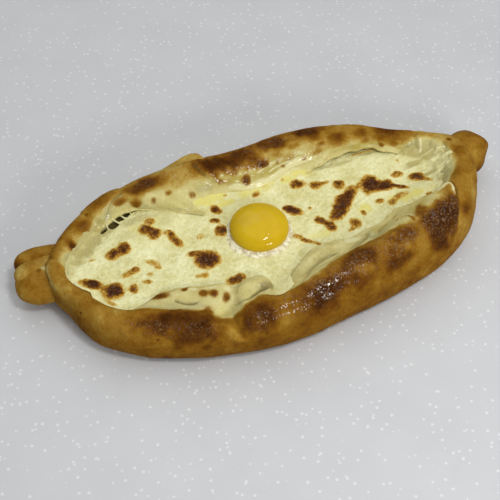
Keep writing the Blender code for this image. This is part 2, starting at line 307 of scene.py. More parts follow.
# Stations round the pool: bearing, reach of its edge, how far down the inner slope (0 at the
# crest, 1 at the edge) the browned skin ends and over what share it fades, the edge's
# height, and the share of the slope over which it falls
poolStations = [
    (0, 0.76, 0.5, 0.25, 27.2, 0.95), (8, 0.785, 0.35, 0.25, 27.2, 0.95),
    (16, 0.815, 0.2, 0.2, 27.2, 0.95), (24, 0.84, 0.22, 0.25, 27.2, 0.97),
    (33, 0.835, 0.14, 0.3, 27.2, 0.97), (38, 0.825, 0.5, 0.4, 28.4, 0.97),
    (43, 0.825, 0.76, 0.25, 30.5, 0.97), (49, 0.828, 0.74, 0.25, 31.3, 0.97),
    (53, 0.785, 0.74, 0.25, 31.5, 0.97), (57, 0.705, 0.7, 0.25, 31, 0.97), (62, 0.59, 0.5, 0.3, 28, 0.97),
    (70, 0.49, 0.3, 0.35, 27.2, 0.97), (80, 0.445, 0.28, 0.32, 27, 0.97),
    (90, 0.432, 0.26, 0.32, 27, 0.97), (100, 0.445, 0.34, 0.25, 27, 0.97),
    (106, 0.46, 0.4, 0.2, 27.2, 0.97), (112, 0.47, 0.34, 0.25, 27.4, 0.97),
    (116.5, 0.39, 0.26, 0.25, 28, 0.9), (120, 0.385, 0.24, 0.25, 28.8, 0.85),
    (123, 0.47, 0.28, 0.25, 29.2, 0.88), (126, 0.62, 0.34, 0.45, 29.8, 0.94),
    (128.5, 0.725, 0.46, 0.5, 30.4, 0.97), (131, 0.752, 0.48, 0.5, 30.5, 0.97),
    (134, 0.75, 0.38, 0.55, 30.2, 0.97), (138, 0.738, 0.34, 0.6, 29.6, 0.97),
    (143, 0.735, 0.38, 0.6, 28, 0.97), (150, 0.74, 0.4, 0.6, 27, 0.97),
    (158, 0.742, 0.34, 0.6, 26.6, 0.97), (165, 0.745, 0.16, 0.5, 26.6, 0.97),
    (172, 0.748, 0.55, 0.35, 26.6, 0.97), (180, 0.745, 0.85, 0.15, 26.4, 0.95),
    (190, 0.725, 0.92, 0.12, 25.8, 0.9), (197, 0.7, 0.9, 0.12, 25.4, 0.8),
    (205, 0.68, 0.52, 0.1, 25.2, 0.6), (212, 0.67, 0.36, 0.08, 25.2, 0.5),
    (218, 0.66, 0.34, 0.08, 25.4, 0.45), (222, 0.65, 0.35, 0.08, 27, 0.45),
    (226, 0.605, 0.35, 0.08, 29.2, 0.45), (230, 0.58, 0.34, 0.08, 29.6, 0.45),
    (236, 0.556, 0.33, 0.08, 29.8, 0.45), (242, 0.556, 0.28, 0.08, 29.9, 0.45),
    (248, 0.56, 0.22, 0.1, 29.8, 0.45), (252, 0.592, 0.14, 0.1, 29.2, 0.45),
    (254.5, 0.6, 0.1, 0.1, 29.4, 0.45), (258, 0.56, 0.14, 0.1, 30.4, 0.45),
    (262, 0.564, 0.34, 0.1, 30.8, 0.45), (265, 0.605, 0.38, 0.12, 29.8, 0.45),
    (268, 0.675, 0.3, 0.15, 27.2, 0.5), (271, 0.65, 0.12, 0.2, 26.2, 0.5),
    (274, 0.585, 0.05, 0.22, 27.6, 0.45), (279, 0.515, 0.06, 0.22, 30, 0.45),
    (285, 0.47, 0.18, 0.16, 30.8, 0.45), (292, 0.44, 0.28, 0.12, 31.2, 0.45),
    (299, 0.438, 0.36, 0.12, 31, 0.45), (306, 0.452, 0.34, 0.12, 30.2, 0.45),
    (314, 0.5, 0.2, 0.2, 29.6, 0.6), (320, 0.5, 0.1, 0.25, 29.6, 0.75),
    (326, 0.535, 0.08, 0.25, 29.6, 0.88), (332, 0.556, 0.12, 0.25, 29.8, 0.92),
    (338, 0.561, 0.18, 0.25, 29.8, 0.94), (342, 0.568, 0.24, 0.22, 29.6, 0.95),
    (346, 0.635, 0.3, 0.2, 29.2, 0.95), (350, 0.7, 0.36, 0.2, 28.2, 0.95),
    (355, 0.738, 0.45, 0.22, 27.4, 0.95)]
loaf = dict(
    oval=(160, 68), bulgeZ=14, baseInset=9, roundness=2.4, shelfZ=27.4, lipWave=(6, 1.6),
    around=830, footRows=8, sideRows=46, slopeRows=56,
    # the lip's nose and the hollow under it: offset inwards from the edge, drop below it
    nose=[(0.8, 0.5), (1.1, 1.2), (0.7, 1.9), (-0.8, 2.5), (-3.0, 3.2), (-5.0, 6.0)])


def through(stations, theta, column):
    # Smooth closed curve through one column of stations, a cubic between neighbours whose
    # slope at a station is the mean of the slopes on its two sides
    rows = np.array(stations + [(stations[0][0] + 360, *stations[0][1:])], float)
    at, value = np.radians(rows[:, 0]), rows[:, column]
    gap = np.diff(at)
    side = np.diff(value) / gap
    slope = (side + np.roll(side, 1)) / 2
    slope = np.append(slope, slope[0])
    k = np.clip(np.searchsorted(at, theta, side="right") - 1, 0, len(gap) - 1)
    t, gap = (theta - at[k]) / gap[k], gap[k]
    return (value[k] * (1 + 2 * t) * (1 - t) ** 2 + slope[k] * gap * t * (1 - t) ** 2
            + value[k + 1] * t * t * (3 - 2 * t) + slope[k + 1] * gap * t * t * (t - 1))


def poolValue(theta, column):
    # One column of the pool's stations at each bearing
    return through(poolStations, theta, column)


def planRing(theta, reach):
    # The oval's points at each bearing, times their reach
    return np.stack([loaf["oval"][0] * reach * np.cos(theta),
                     loaf["oval"][1] * reach * np.sin(theta)], -1)


def offsetIn(ring, distance):
    # Move a closed anticlockwise ring inwards, square to itself
    along = np.roll(ring, -1, axis=0) - np.roll(ring, 1, axis=0)
    along /= np.linalg.norm(along, axis=1, keepdims=True)
    return ring + np.reshape(distance, (-1, 1)) * np.stack([-along[:, 1], along[:, 0]], -1)


def foldRise(x, y, at, turn, length, width, rise):
    # Height of a rounded ridge, or a groove where rise is negative: exp(-u^4 - v^2)
    u, v = ovalPlace(x, y, at, turn, length, width)
    return rise * np.exp(-u ** 4 - v ** 2)


folds = [
    dict(at=(-37, -60), turn=-66, length=12, width=6, rise=-3.4),      # pleat
    dict(at=(-37, -52), turn=0, length=9, width=9, rise=-4.0),         # dip at its top
    dict(at=(124, -8), turn=55, length=12, width=6, rise=2.0),         # tip of the near roll
    dict(at=(64, 44), turn=4, length=16, width=4, rise=1.0),
    dict(at=(-36, 54), turn=8, length=15, width=6, rise=2.6),          # under the ear
    dict(at=(-68, 42), turn=-18, length=24, width=6, rise=1.6),
]


def slopeHeight(theta, t):
    # Height of the inner slope, t of the way from the crest to the pool's edge:
    # (1 - s^2)^k of the way from the lip up to the crest, where s runs faster than t by the
    # share over which the slope falls, and k is smaller where the lip hangs over the pool
    crestZ, lipZ, fall = through(rimStations, theta, 3), poolValue(theta, 4), poolValue(theta, 5)
    hang = np.clip((lipZ - loaf["shelfZ"]) / 3.5, 0, 1)
    s = np.clip(t / fall, 0, 1)
    return lipZ + (crestZ - lipZ) * (1 - s ** 2) ** (1.5 - 0.6 * hang), lipZ, hang


def loafGrid():
    # Rows round the loaf: under the foot (share -2 to -1), up the outside to the crest
    # (-1 to 0), down the inner slope to the pool's edge (0 to 1), round the lip and under
    # it. The outside is a superellipse quarter between the outline and the crest.
    f = loaf
    theta = np.arange(f["around"]) * 2 * np.pi / f["around"]
    outline, crest = (planRing(theta, through(rimStations, theta, column)) for column in (1, 2))
    crestZ = through(rimStations, theta, 3)
    edge = planRing(theta, poolValue(theta, 1))
    base = offsetIn(outline, f["baseInset"])
    _, lipZ, hang = slopeHeight(theta, 1.0)
    size, height = f["lipWave"]
    circle = np.stack([edge[:, 0], edge[:, 1], 0 * theta], -1)
    ragged = (0.25 + 0.75 * hang) * height * noise(circle, size, 9, 2)
    rings, share = [(base * 0.5, 0), (base * 0.9, 0)], [-2.2, -2.1]
    for a in np.linspace(0, np.pi / 2, f["footRows"], endpoint=False):
        rings.append((base + (outline - base) * np.sin(a), f["bulgeZ"] * (1 - np.cos(a))))
        share.append(-2 + a / (np.pi / 2))
    for a in np.linspace(0, np.pi / 2, f["sideRows"], endpoint=False):
        out, up = np.cos(a) ** (2 / f["roundness"]), np.sin(a) ** (2 / f["roundness"])
        rings.append((crest + (outline - crest) * out, f["bulgeZ"] + (crestZ - f["bulgeZ"]) * up))
        share.append(-1 + a / (np.pi / 2))
    rim = offsetIn(edge, ragged)
    for t in np.linspace(0, 1, f["slopeRows"]):
        rings.append((crest + (edge - crest) * t + (rim - edge) * t ** 3, slopeHeight(theta, t)[0]))
        share.append(t)
    for k, (inwards, drop) in enumerate(f["nose"]):
        rings.append((offsetIn(rim, inwards * np.sqrt(hang)), lipZ - drop * np.maximum(hang, 0.5)))
        share.append(1.02 + 0.03 * k)
    rings.append((edge * 0.5, f["shelfZ"] - 6))
    share.append(1.6)
    grid = np.array([np.column_stack([ring, np.broadcast_to(z, len(ring))]) for ring, z in rings])
    share = np.array(share)
    shaped = (share > -0.95) & (share <= 1.0)
    part = grid[shaped]
    fade = 1 - 0.8 * ease(share[shaped], 0.7, 1)[:, None]
    high = np.clip((part[..., 2] - f["bulgeZ"]) / 10, 0, 1) * fade
    part[..., 2] += high * sum(foldRise(part[..., 0], part[..., 1], **fold) for fold in folds)
    grid[shaped] = part
    return grid, share


loafSkin, loafShare = loafGrid()
loafNormal = outward(loafSkin)
loafBearing = np.arange(loaf["around"]) * 360 / loaf["around"]


def onLoaf(bearing, share):
    # The point of the loaf's skin at a bearing and a share, with its directions along the
    # rim and across it
    row = np.argmin(np.abs(loafShare - share))
    column = int(round(bearing / 360 * loaf["around"])) % loaf["around"]
    point = loafSkin[row, column]
    along = loafSkin[row, (column + 1) % loaf["around"]] - loafSkin[row, column - 1]
    across = loafSkin[row + 1, column] - loafSkin[row - 1, column]
    across = across - along * (across @ along) / (along @ along)
    return point, along / np.linalg.norm(along), across / np.linalg.norm(across)


def onPath(places):
    # A smooth line on the skin through places given by bearing and share
    bearing, share = smoothPath(places, 4 * len(places) - 3).T
    row = np.interp(share, loafShare, np.arange(len(loafShare)))
    column = bearing / 360 * loaf["around"]
    i, j = np.floor(row).astype(int), np.floor(column).astype(int)
    down, on = (row - i)[:, None], (column - j)[:, None]
    a, b = (loafSkin[i, k % loaf["around"]] * (1 - down) + loafSkin[i + 1, k % loaf["around"]] * down
            for k in (j, j + 1))
    return a * (1 - on) + b * on


def skinHeight(places):
    # Height of the loaf's upper skin over plan places, from its nearest points
    upper = loafSkin[(loafShare > -0.5) & (loafShare <= 1.0)][:, ::2].reshape(-1, 3)
    gap = np.linalg.norm(places[:, None, :2] - upper[None, :, :2], axis=-1)
    near = np.argsort(gap, axis=1)[:, :4]
    weight = 1 / (np.take_along_axis(gap, near, 1) + 0.05)
    return (upper[near, 2] * weight).sum(1) / weight.sum(1)


# Lines by bearing and share: where the far roll's end overlaps the near roll, and the pale
# edge of the near roll's tip
overlap = [(353, 0.78), (350, 0.46), (348, 0.22), (344, 0.02), (338, -0.1), (333, -0.24), (327, -0.42)]
tipEdge = [(343.5, 0.4), (345.5, 0.33), (347.2, 0.24), (344.6, 0.08), (340, -0.02), (335, -0.13)]
crust = dict(
    # blister here is the size and height of the raised blisters
    swell=(26, 0.7), lump=(9, 0.22), grain=(1.9, 0.06), blister=(4.5, 0.30), curd=(3.6, 0.28),
    # how browned it is: the mean, its clouds by size and strength, the far side paler, painted
    # shade darkening the foot of the near side, and its left end paler
    browned=0.425, clouds=(22, 0.07), farPaler=0.17, footPaintedShade=0.15, leftPaler=0.08,
    # creases: places by bearing and share, width, depth, and how far the skin on the right
    # of the line stands over the skin on its left. They run from the pleat and the rolls'
    # overlaps to the crack in the left flap and the lines in the near ledge.
    creases=[
        ([(254, 0.25), (256, -0.08), (257.5, -0.45), (259, -0.78)], 1.7, 1.3, 0.9),
        ([(217, 0.15), (218, -0.15), (220, -0.4)], 2.4, 0.5, 0),
        (overlap + [(320, -0.62)], 1.5, 1.2, 2.4),
        ([(26.5, 0.05), (22.5, 0.33), (18.5, 0.36), (14.5, 0.1)], 1.6, 1, 0),
        ([(175, 1), (171.5, 0.7), (167.5, 0.1), (163.5, -0.3), (163, -0.6), (172, -0.5), (181.5, -0.45),
          (187, -0.63), (191, -0.8)], 1.6, 0.8, -1.6),
        ([(120, -0.25), (123.5, -0.07), (127.5, 0.15), (131, 0.42), (134, 0.66), (137.5, 0.8),
          (141, 0.92)], 1.4, 0.9, 2),
        ([(102.2, -0.1), (102.4, 0.18), (101.5, 0.4), (99, 0.62)], 1.6, 0.9, -1.2),
        ([(254, 0.52), (256, 0.42), (258, 0.38), (260, 0.45), (262, 0.57), (264, 0.66),
          (266.5, 0.86)], 1, 1.6, 0),
        ([(233, 0.62), (234.7, 0.56), (238.1, 0.51), (241, 0.5), (243, 0.53)], 0.9, 1.3, 0),
        ([(276, 0.5), (279.2, 0.55), (285, 0.6), (290.4, 0.6), (295, 0.55)], 0.9, 1, 0),
        ([(298, 0.42), (300, 0.48), (304.4, 0.56), (308.8, 0.66), (314, 0.8),
          (317.5, 0.93)], 1.2, 1.6, 0),
        ([(38, -0.12), (36.8, 0.2), (34.5, 0.5), (33, 0.8)], 1.5, 1, 0.6),
        ([(31, -0.1), (30.5, 0.3), (27.5, 0.7)], 1.6, 0.8, 0)],
    # ridges and, where the height is negative, grooves: places, width, height
    ridges=[
        ([(253.5, -0.3), (256, -0.55), (258, -0.78), (261, -0.82)], 1.4, 1),
        ([(183, 0.5), (188, 0.1), (193, -0.2)], 3, 0.6),
        ([(222, 0.5), (230, 0.45), (236, 0.4), (241, 0.38), (247, 0.3), (252, 0.28)], 2.6, -1.6),
        ([(224, 0.75), (230, 0.78), (240, 0.8), (250, 0.78)], 3.2, 0.7),
        ([(253, 0.75), (256, 0.82), (259, 0.85), (262, 0.84), (265, 0.85), (267.5, 0.95)], 3.2, 2.2),
        ([(258, 0.36), (262, 0.3)], 3, -1),
        ([(272, 0.7), (277, 0.78), (284, 0.82), (292, 0.82), (300, 0.8), (307, 0.8)], 3.4, 1.8),
        ([(276, 0.4), (284, 0.46), (292, 0.48), (298, 0.46)], 2.2, 0.9),
        ([(311, 0.55), (315, 0.72), (320, 0.86)], 2.4, 1.5),
        ([(320, 0.36), (322.5, 0.5), (324, 0.42), (321.5, 0.2), (318, 0)], 1, 0.9),
        ([(338, 0.75), (341, 0.62), (345, 0.55)], 2, 0.8),
        ([(36, -0.05), (33.5, 0.35), (31, 0.75)], 3.4, 1),
        ([(15, 0.35), (12, 0.55), (13, 0.85)], 1.2, 0.8),
        ([(8, 0.5), (7, 0.7), (8.5, 0.95)], 1.4, 1),
        ([(20, 0.45), (18, 0.7), (20, 0.95)], 1.2, 0.8),
        ([(1, 0.5), (2, 0.75), (2, 0.95)], 1.3, 0.7),
        ([(25.5, 0.35), (23, 0.65), (20.4, 0.98)], 1.2, 1),
        ([(34.7, 0.25), (31.2, 0.6), (28, 0.98)], 1.3, 1.1),
        ([(11.8, 0.5), (9.5, 0.7), (7, 0.98)], 1.1, 0.9),
        ([(99, 0.66), (93, 0.7), (87, 0.76), (80, 0.8), (75, 0.72), (70, 0.62), (65, 0.6),
          (59, 0.72)], 2, 1),
        ([(84, 0.62), (80, 0.52), (75, 0.46), (70, 0.43), (64, 0.44)], 1.2, 0.7),
        ([(88, 0.62), (82, 0.66), (77, 0.56), (72, 0.52), (66, 0.5)], 1.2, -0.8)],
    # the far roll's end goes round the right side of the near roll: its skin stays golden
    endWall=[(363, 0.9)] + overlap + [(320, -0.7)],
    wallSpots=[
        (331, -0.5, 4, 5, 0.7), (337, -0.45, 8, 6, 0.35), (358, 0.2, 5, 5, 0.2), (15, 0.02, 6, 6, 0.5),
        (352, 0.62, 3, 2, 0.6), (25, -0.04, 2, 1.5, 0.8)],
    # scorched patches: bearing, share, half-length, half-width, how dark
    patches=[
        (238, -0.06, 14, 9, 0.85), (246, -0.12, 16, 11, 0.9), (251, -0.2, 8, 11, 0.4),
        (262.5, -0.28, 11, 11, 0.9), (276, -0.38, 12, 11, 0.95), (281.5, -0.25, 10, 8, 0.8),
        (294, -0.03, 13, 7, 0.7), (297, -0.46, 13, 8, 0.85), (288, -0.5, 10, 7, 0.55),
        (289, -0.08, 10, 5, 0.3), (309, -0.1, 11, 7, 0.65), (319, -0.38, 13, 12, 1),
        (312.5, -0.62, 9, 9, 0.8), (328, -0.22, 11, 9, 0.9), (322, -0.08, 8, 6, 0.6),
        (337, -0.05, 7, 4, 0.6), (260, -0.7, 5, 6, 0.25), (273, -0.7, 8, 6, 0.3), (228, -0.13, 8, 6, 0.3),
        (200, 0.25, 10, 6, 0.25), (175, -0.05, 8, 7, 0.25), (118.5, 0.05, 13, 6, 0.85),
        (114, 0.02, 8, 5, 0.35), (101, 0.14, 7, 6, 0.5), (94, 0.12, 13, 8, 0.95), (87, 0.08, 14, 8, 0.9),
        (80, 0.02, 10, 6, 0.7), (76, 0.12, 6, 4, 0.75), (69, -0.02, 15, 7, 0.95), (59, 0.34, 6, 5, 0.6),
        (53, 0.25, 6, 4, 0.45), (46, -0.05, 15, 6, 0.7), (144.5, 0.38, 6, 5.5, 0.6),
        (156, 0.5, 3.6, 4.6, 0.9), (149, -0.32, 12, 8, 0.3), (130, -0.1, 12, 6, 0.4),
        (141, 0.12, 10, 4, 0.2)],
    spots=[
        (128.8, 0.55, 4.5, 3.5, 0.6), (127, 0.78, 4, 3.5, 0.65), (123.6, 0.56, 2.5, 3, 0.5),
        (117, 0.42, 3, 2.5, 0.5), (110, 0.7, 3, 3, 0.5), (87.5, 0.68, 4.2, 4.2, 0.8),
        (91.5, 0.46, 3, 3, 0.35), (81, 0.45, 4.5, 2.6, 0.5), (83.5, 0.32, 4, 2, 0.35),
        (82.4, 0.45, 7, 3.4, 0.45), (76.5, 0.4, 5, 3, 0.35), (62, 0.6, 5, 2.4, 0.3),
        (94.5, 0.62, 4, 3, 0.35), (71, 0.53, 6, 3, 0.3), (50, 0.78, 4, 2, 0.35),
        (97.5, 0.56, 3.2, 2.8, 0.6), (71.5, 0.3, 4, 2, 0.35), (66, 0.22, 4, 2, 0.3),
        (75.5, 0.52, 2.2, 2.6, 0.45), (80, 0.5, 3.4, 1.8, 0.5), (73, 0.64, 2.2, 1.6, 0.5),
        (62.5, 0.4, 2.2, 1.6, 0.5), (66, 0.62, 2, 1.6, 0.5), (98.5, 0.42, 2.5, 4, 0.5),
        (327, 0.27, 6, 5, 0.45), (333, 0.48, 4, 3, 0.4), (331, 0.85, 3, 1.6, 0.4),
        (318, 0.66, 4, 1.8, 0.35), (323, 0.74, 3, 1.6, 0.4), (313, 0.42, 4, 1.6, 0.3),
        (346, 0.72, 4, 2, 0.5), (44, 0.85, 2, 1.5, 0.6), (40, 0.7, 2.4, 2, 0.3), (226, 0.8, 6.5, 2.8, 0.8),
        (233, 0.9, 2.4, 1.6, 0.7), (242, 0.76, 3.6, 3.2, 0.8), (246, 0.76, 3.2, 3, 0.75),
        (251, 0.72, 3, 4.2, 0.6), (249, 0.3, 2, 1.4, 0.35), (356, 0.8, 2.5, 2, 0.55),
        (207.5, -0.57, 0.9, 0.8, 1), (239.5, -0.63, 0.9, 0.8, 1), (238.5, 0.32, 0.9, 0.8, 0.9),
        (138.2, -0.02, 1.2, 1, 0.5)],
    # other tints, laid on as the patches are
    ashen=[
        (14, 0.75, 15, 7, 0.8), (2, 0.78, 9, 5, 0.7), (28, 0.7, 9, 8, 0.7), (35, 0.6, 5, 8, 0.8),
        (97.5, 0.4, 7, 5, 0.8), (91, 0.36, 6, 3, 0.6), (104, 0.62, 8, 3, 0.6), (312, 0.55, 8, 6, 0.75),
        (319, 0.55, 7, 7, 0.5), (160, 0.62, 14, 6, 0.8), (148, 0.78, 10, 6, 0.8), (135, 0.65, 7, 5, 0.8),
        (226, 0.62, 18, 6, 0.45), (246, 0.55, 8, 5, 0.35), (238, 0.44, 14, 2.5, 0.6),
        (262.5, 0.62, 5, 3.5, 0.7), (300, 0.48, 8, 3, 0.5), (284, 0.44, 9, 2.5, 0.4)],
    milky=[
        (12, 0.66, 2, 5, 0.9), (21, 0.42, 4, 2, 0.8), (35, 0.3, 2, 5, 0.5), (309, 0.86, 7, 2.4, 0.9),
        (243, 0.93, 8, 1.4, 0.6), (250.5, 0.93, 4, 1.6, 0.7), (236, 0.93, 3, 1.2, 0.7),
        (83, 0.78, 10, 2, 0.7), (73, 0.8, 8, 2, 0.6), (68, 0.55, 8, 2, 0.5), (137, 0.72, 4, 3, 0.5),
        (290, 0.8, 14, 3, 0.35), (257, 0.82, 5, 2, 0.3), (47, 0.96, 9, 1.6, 0.5), (54, 0.96, 9, 1.4, 0.4),
        (60, 0.9, 5, 2, 0.5)],
    # tints along lines: places by bearing and share, half-width, how strong
    strips=dict(
        milky=[
            (tipEdge, 1.6, 1),
            ([(13.9, 0.45), (11.5, 0.67), (9, 0.98)], 1.2, 0.9),
            ([(25.5, 0.4), (23, 0.65), (20.4, 0.98)], 1.3, 0.7),
            ([(31.2, 0.35), (27.3, 0.67), (23, 0.98)], 1, 0.7),
            ([(34.7, 0.25), (31.2, 0.6), (28, 0.98)], 1.4, 0.8),
            ([(128, 0.18), (132, 0.42), (135, 0.62), (138, 0.74)], 1.2, 0.4),
            ([(286, 0.7), (294, 0.72), (302, 0.68)], 2, 0.4),
            ([(99, 0.7), (93, 0.74), (87, 0.8), (80, 0.84), (75, 0.76), (70, 0.66), (65, 0.64),
              (59, 0.76)], 2.3, 1),
            ([(84, 0.66), (80, 0.56), (75, 0.5), (70, 0.47), (64, 0.48)], 1.3, 0.8),
            ([(79, 0.68), (75, 0.6), (71, 0.57), (66, 0.56)], 0.9, 0.7),
            ([(91, 0.5), (87.5, 0.55), (84, 0.5), (80, 0.38)], 1, 0.6)],
        pale=[
            (tipEdge, 1.8, 1),
            ([(123.5, 0.02), (128, 0.22), (132, 0.45), (136, 0.68), (141, 0.85)], 2.4, 0.8),
            # painted highlight: a bright strip beside the pleat's crease
            ([(254.5, -0.15), (256.8, -0.48), (258.3, -0.72), (259.8, -0.8)], 1, 0.35),
            ([(186, 0.3), (191, 0), (196, -0.25)], 1.4, 0.4),
            ([(283, -0.58), (290, -0.62), (298, -0.66), (306, -0.72)], 4, 0.16),
            ([(286, -0.14), (291, -0.3), (303, -0.34), (310, -0.3)], 2.6, 0.18),
            ([(166, -0.25), (172, -0.38), (181.5, -0.38), (187, -0.55)], 2.2, 0.8),
            ([(236, -0.92), (240, -0.8), (244, -0.74)], 1.2, 0.25),
            ([(103.5, -0.05), (106, -0.12), (110, -0.12), (115, -0.08)], 3, 0.35)],
        # dark lines: browning along the folds, with painted shade in the creases and at the rolls' overlap
        brown=[
            ([(350, 0.4), (348, 0.18), (344, 0), (338, -0.12), (330, -0.36)], 0.8, 0.5),
            ([(320, 0.36), (322.5, 0.5), (324, 0.42), (321.5, 0.2), (318, 0)], 0.9, 0.5),
            ([(224, 0.9), (230, 0.96), (238, 0.97), (246, 0.97)], 0.7, 0.35),
            ([(299.5, 0.47), (304.4, 0.56), (308.8, 0.66), (314, 0.8), (317.5, 0.93)], 0.7, 0.4),
            ([(263.5, 0.8), (265.5, 0.88), (267, 0.95)], 2, 0.2)],
        # painted shade along the creases of the flaps, the ledge, the rim and the rolls' overlap
        seam=[
            ([(254.6, 0.48), (256.5, 0.4), (258.5, 0.39), (260.5, 0.48), (262, 0.57), (264, 0.66),
              (266.5, 0.86)], 0.7, 0.8),
            ([(233, 0.62), (234.7, 0.56), (238.1, 0.51), (241, 0.5), (242.6, 0.52)], 0.55, 0.85),
            ([(277, 0.52), (285, 0.6), (290.4, 0.6), (296, 0.54)], 0.45, 0.55),
            ([(262, 0.66), (264.5, 0.78), (267, 0.95)], 2, 0.6),
            ([(268, 1), (272, 0.94), (277, 0.97), (281, 1)], 0.6, 0.3),
            ([(101.8, 0.02), (101.8, 0.22), (100.8, 0.42)], 0.9, 0.55),
            ([(122, -0.1), (127, 0.13), (131, 0.42), (134, 0.66), (138, 0.85)], 0.5, 0.5),
            ([(26.5, 0.08), (23, 0.3), (19.5, 0.34)], 0.8, 0.5),
            ([(350.5, 0.5), (348.4, 0.2), (344.4, 0), (338, -0.13)], 0.5, 0.6)],
        ashen=[
            ([(222, 0.5), (230, 0.45), (236, 0.4), (241, 0.38), (247, 0.3)], 2, 0.7),
            ([(299.5, 0.47), (304.4, 0.56), (308.8, 0.66), (314, 0.8)], 2.2, 0.8),
            ([(276, 0.55), (285, 0.62), (290.4, 0.62), (297, 0.52)], 1.4, 0.6),
            ([(129, 0.85), (124, 0.85), (119, 0.8), (112, 0.75)], 1.6, 0.5)]),
    # bands of the near roll that glisten
    shine=[
        (232, -0.33, 14, 5, 0.9), (240, -0.33, 14, 5, 0.9), (249, -0.34, 10, 5, 0.8),
        (262, -0.36, 9, 6, 0.9), (270, -0.3, 10, 7, 0.9), (278, -0.22, 12, 8, 1), (288, -0.2, 14, 7, 0.9),
        (299, -0.18, 14, 8, 1), (309, -0.16, 14, 8, 1), (320, -0.14, 12, 9, 1), (331, -0.1, 10, 9, 1),
        (320, -0.45, 10, 8, 0.7), (296, 0.15, 10, 3, 0.6), (112, -0.05, 30, 6, 0.5),
        (78, -0.03, 30, 6, 0.4)],
    wet=[
        (80, 0.5, 22, 8, 1), (66, 0.52, 14, 6, 1), (100, 0.6, 8, 6, 0.5), (48, 0.45, 7, 4, 0.5),
        (50, 0.88, 22, 4, 0.9), (91, 0.53, 9, 6, 0.8), (128, 0.42, 10, 6, 0.5), (322, 0.75, 9, 5, 0.6),
        (334, 0.5, 10, 7, 0.6), (346, 0.6, 8, 4, 0.5), (36, 0.75, 8, 3, 0.6), (160, 0.6, 16, 7, 0.7),
        (146, 0.7, 14, 7, 0.7), (134, 0.4, 9, 7, 0.5)],
)


def layStrips(p, n, strips):
    # How strongly each point is tinted by bands along lines on the loaf: exp(-(d/width)^2),
    # fading at their ends
    keep = np.ones(p.shape[:-1])
    for places, width, strength in strips:
        distance, along, _ = awayFrom(p, onPath(places), n)
        ends = ease(along, 0, 0.15) * (1 - ease(along, 0.85, 1))
        keep = keep * (1 - strength * ends * np.exp(-(distance / width) ** 2))
    return 1 - keep


def layOn(p, patches, seed=0, soft=1.0):
    # How strongly each point is tinted by soft ovals lying on the loaf: exp(-r^2.8), put
    # together so that overlaps only deepen
    keep = np.ones(p.shape[:-1])
    wander = 0.30 * noise(p, 6, seed, 3)
    for bearing, share, length, width, strength in patches:
        point, along, across = onLoaf(bearing, share)
        d = p - point
        u, v = d @ along / length, d @ across / width
        off = np.linalg.norm(d, axis=-1) / max(length, width)
        r = np.maximum(np.sqrt(u * u + v * v + 0.1 * off * off) + wander * soft, 0)
        keep = keep * (1 - strength * np.exp(-r ** 2.8))
    return 1 - keep


def creaseLift(p, n, path, width, depth, step):
    # A groove with raised shoulders, and a step that dies away from the line over 14 mm
    distance, along, side = awayFrom(p, path, n)
    opened = ease(along, 0, 0.15) * (1 - ease(along, 0.85, 1))
    groove = 0.35 * np.exp(-(distance / (2.5 * width)) ** 2) - 1.35 * np.exp(-(distance / width) ** 2)
    over = ease(side * distance * np.sign(step + 1e-9), -0.6, 0.6) * np.exp(-distance / 14)
    return opened * (depth * groove + abs(step) * over)


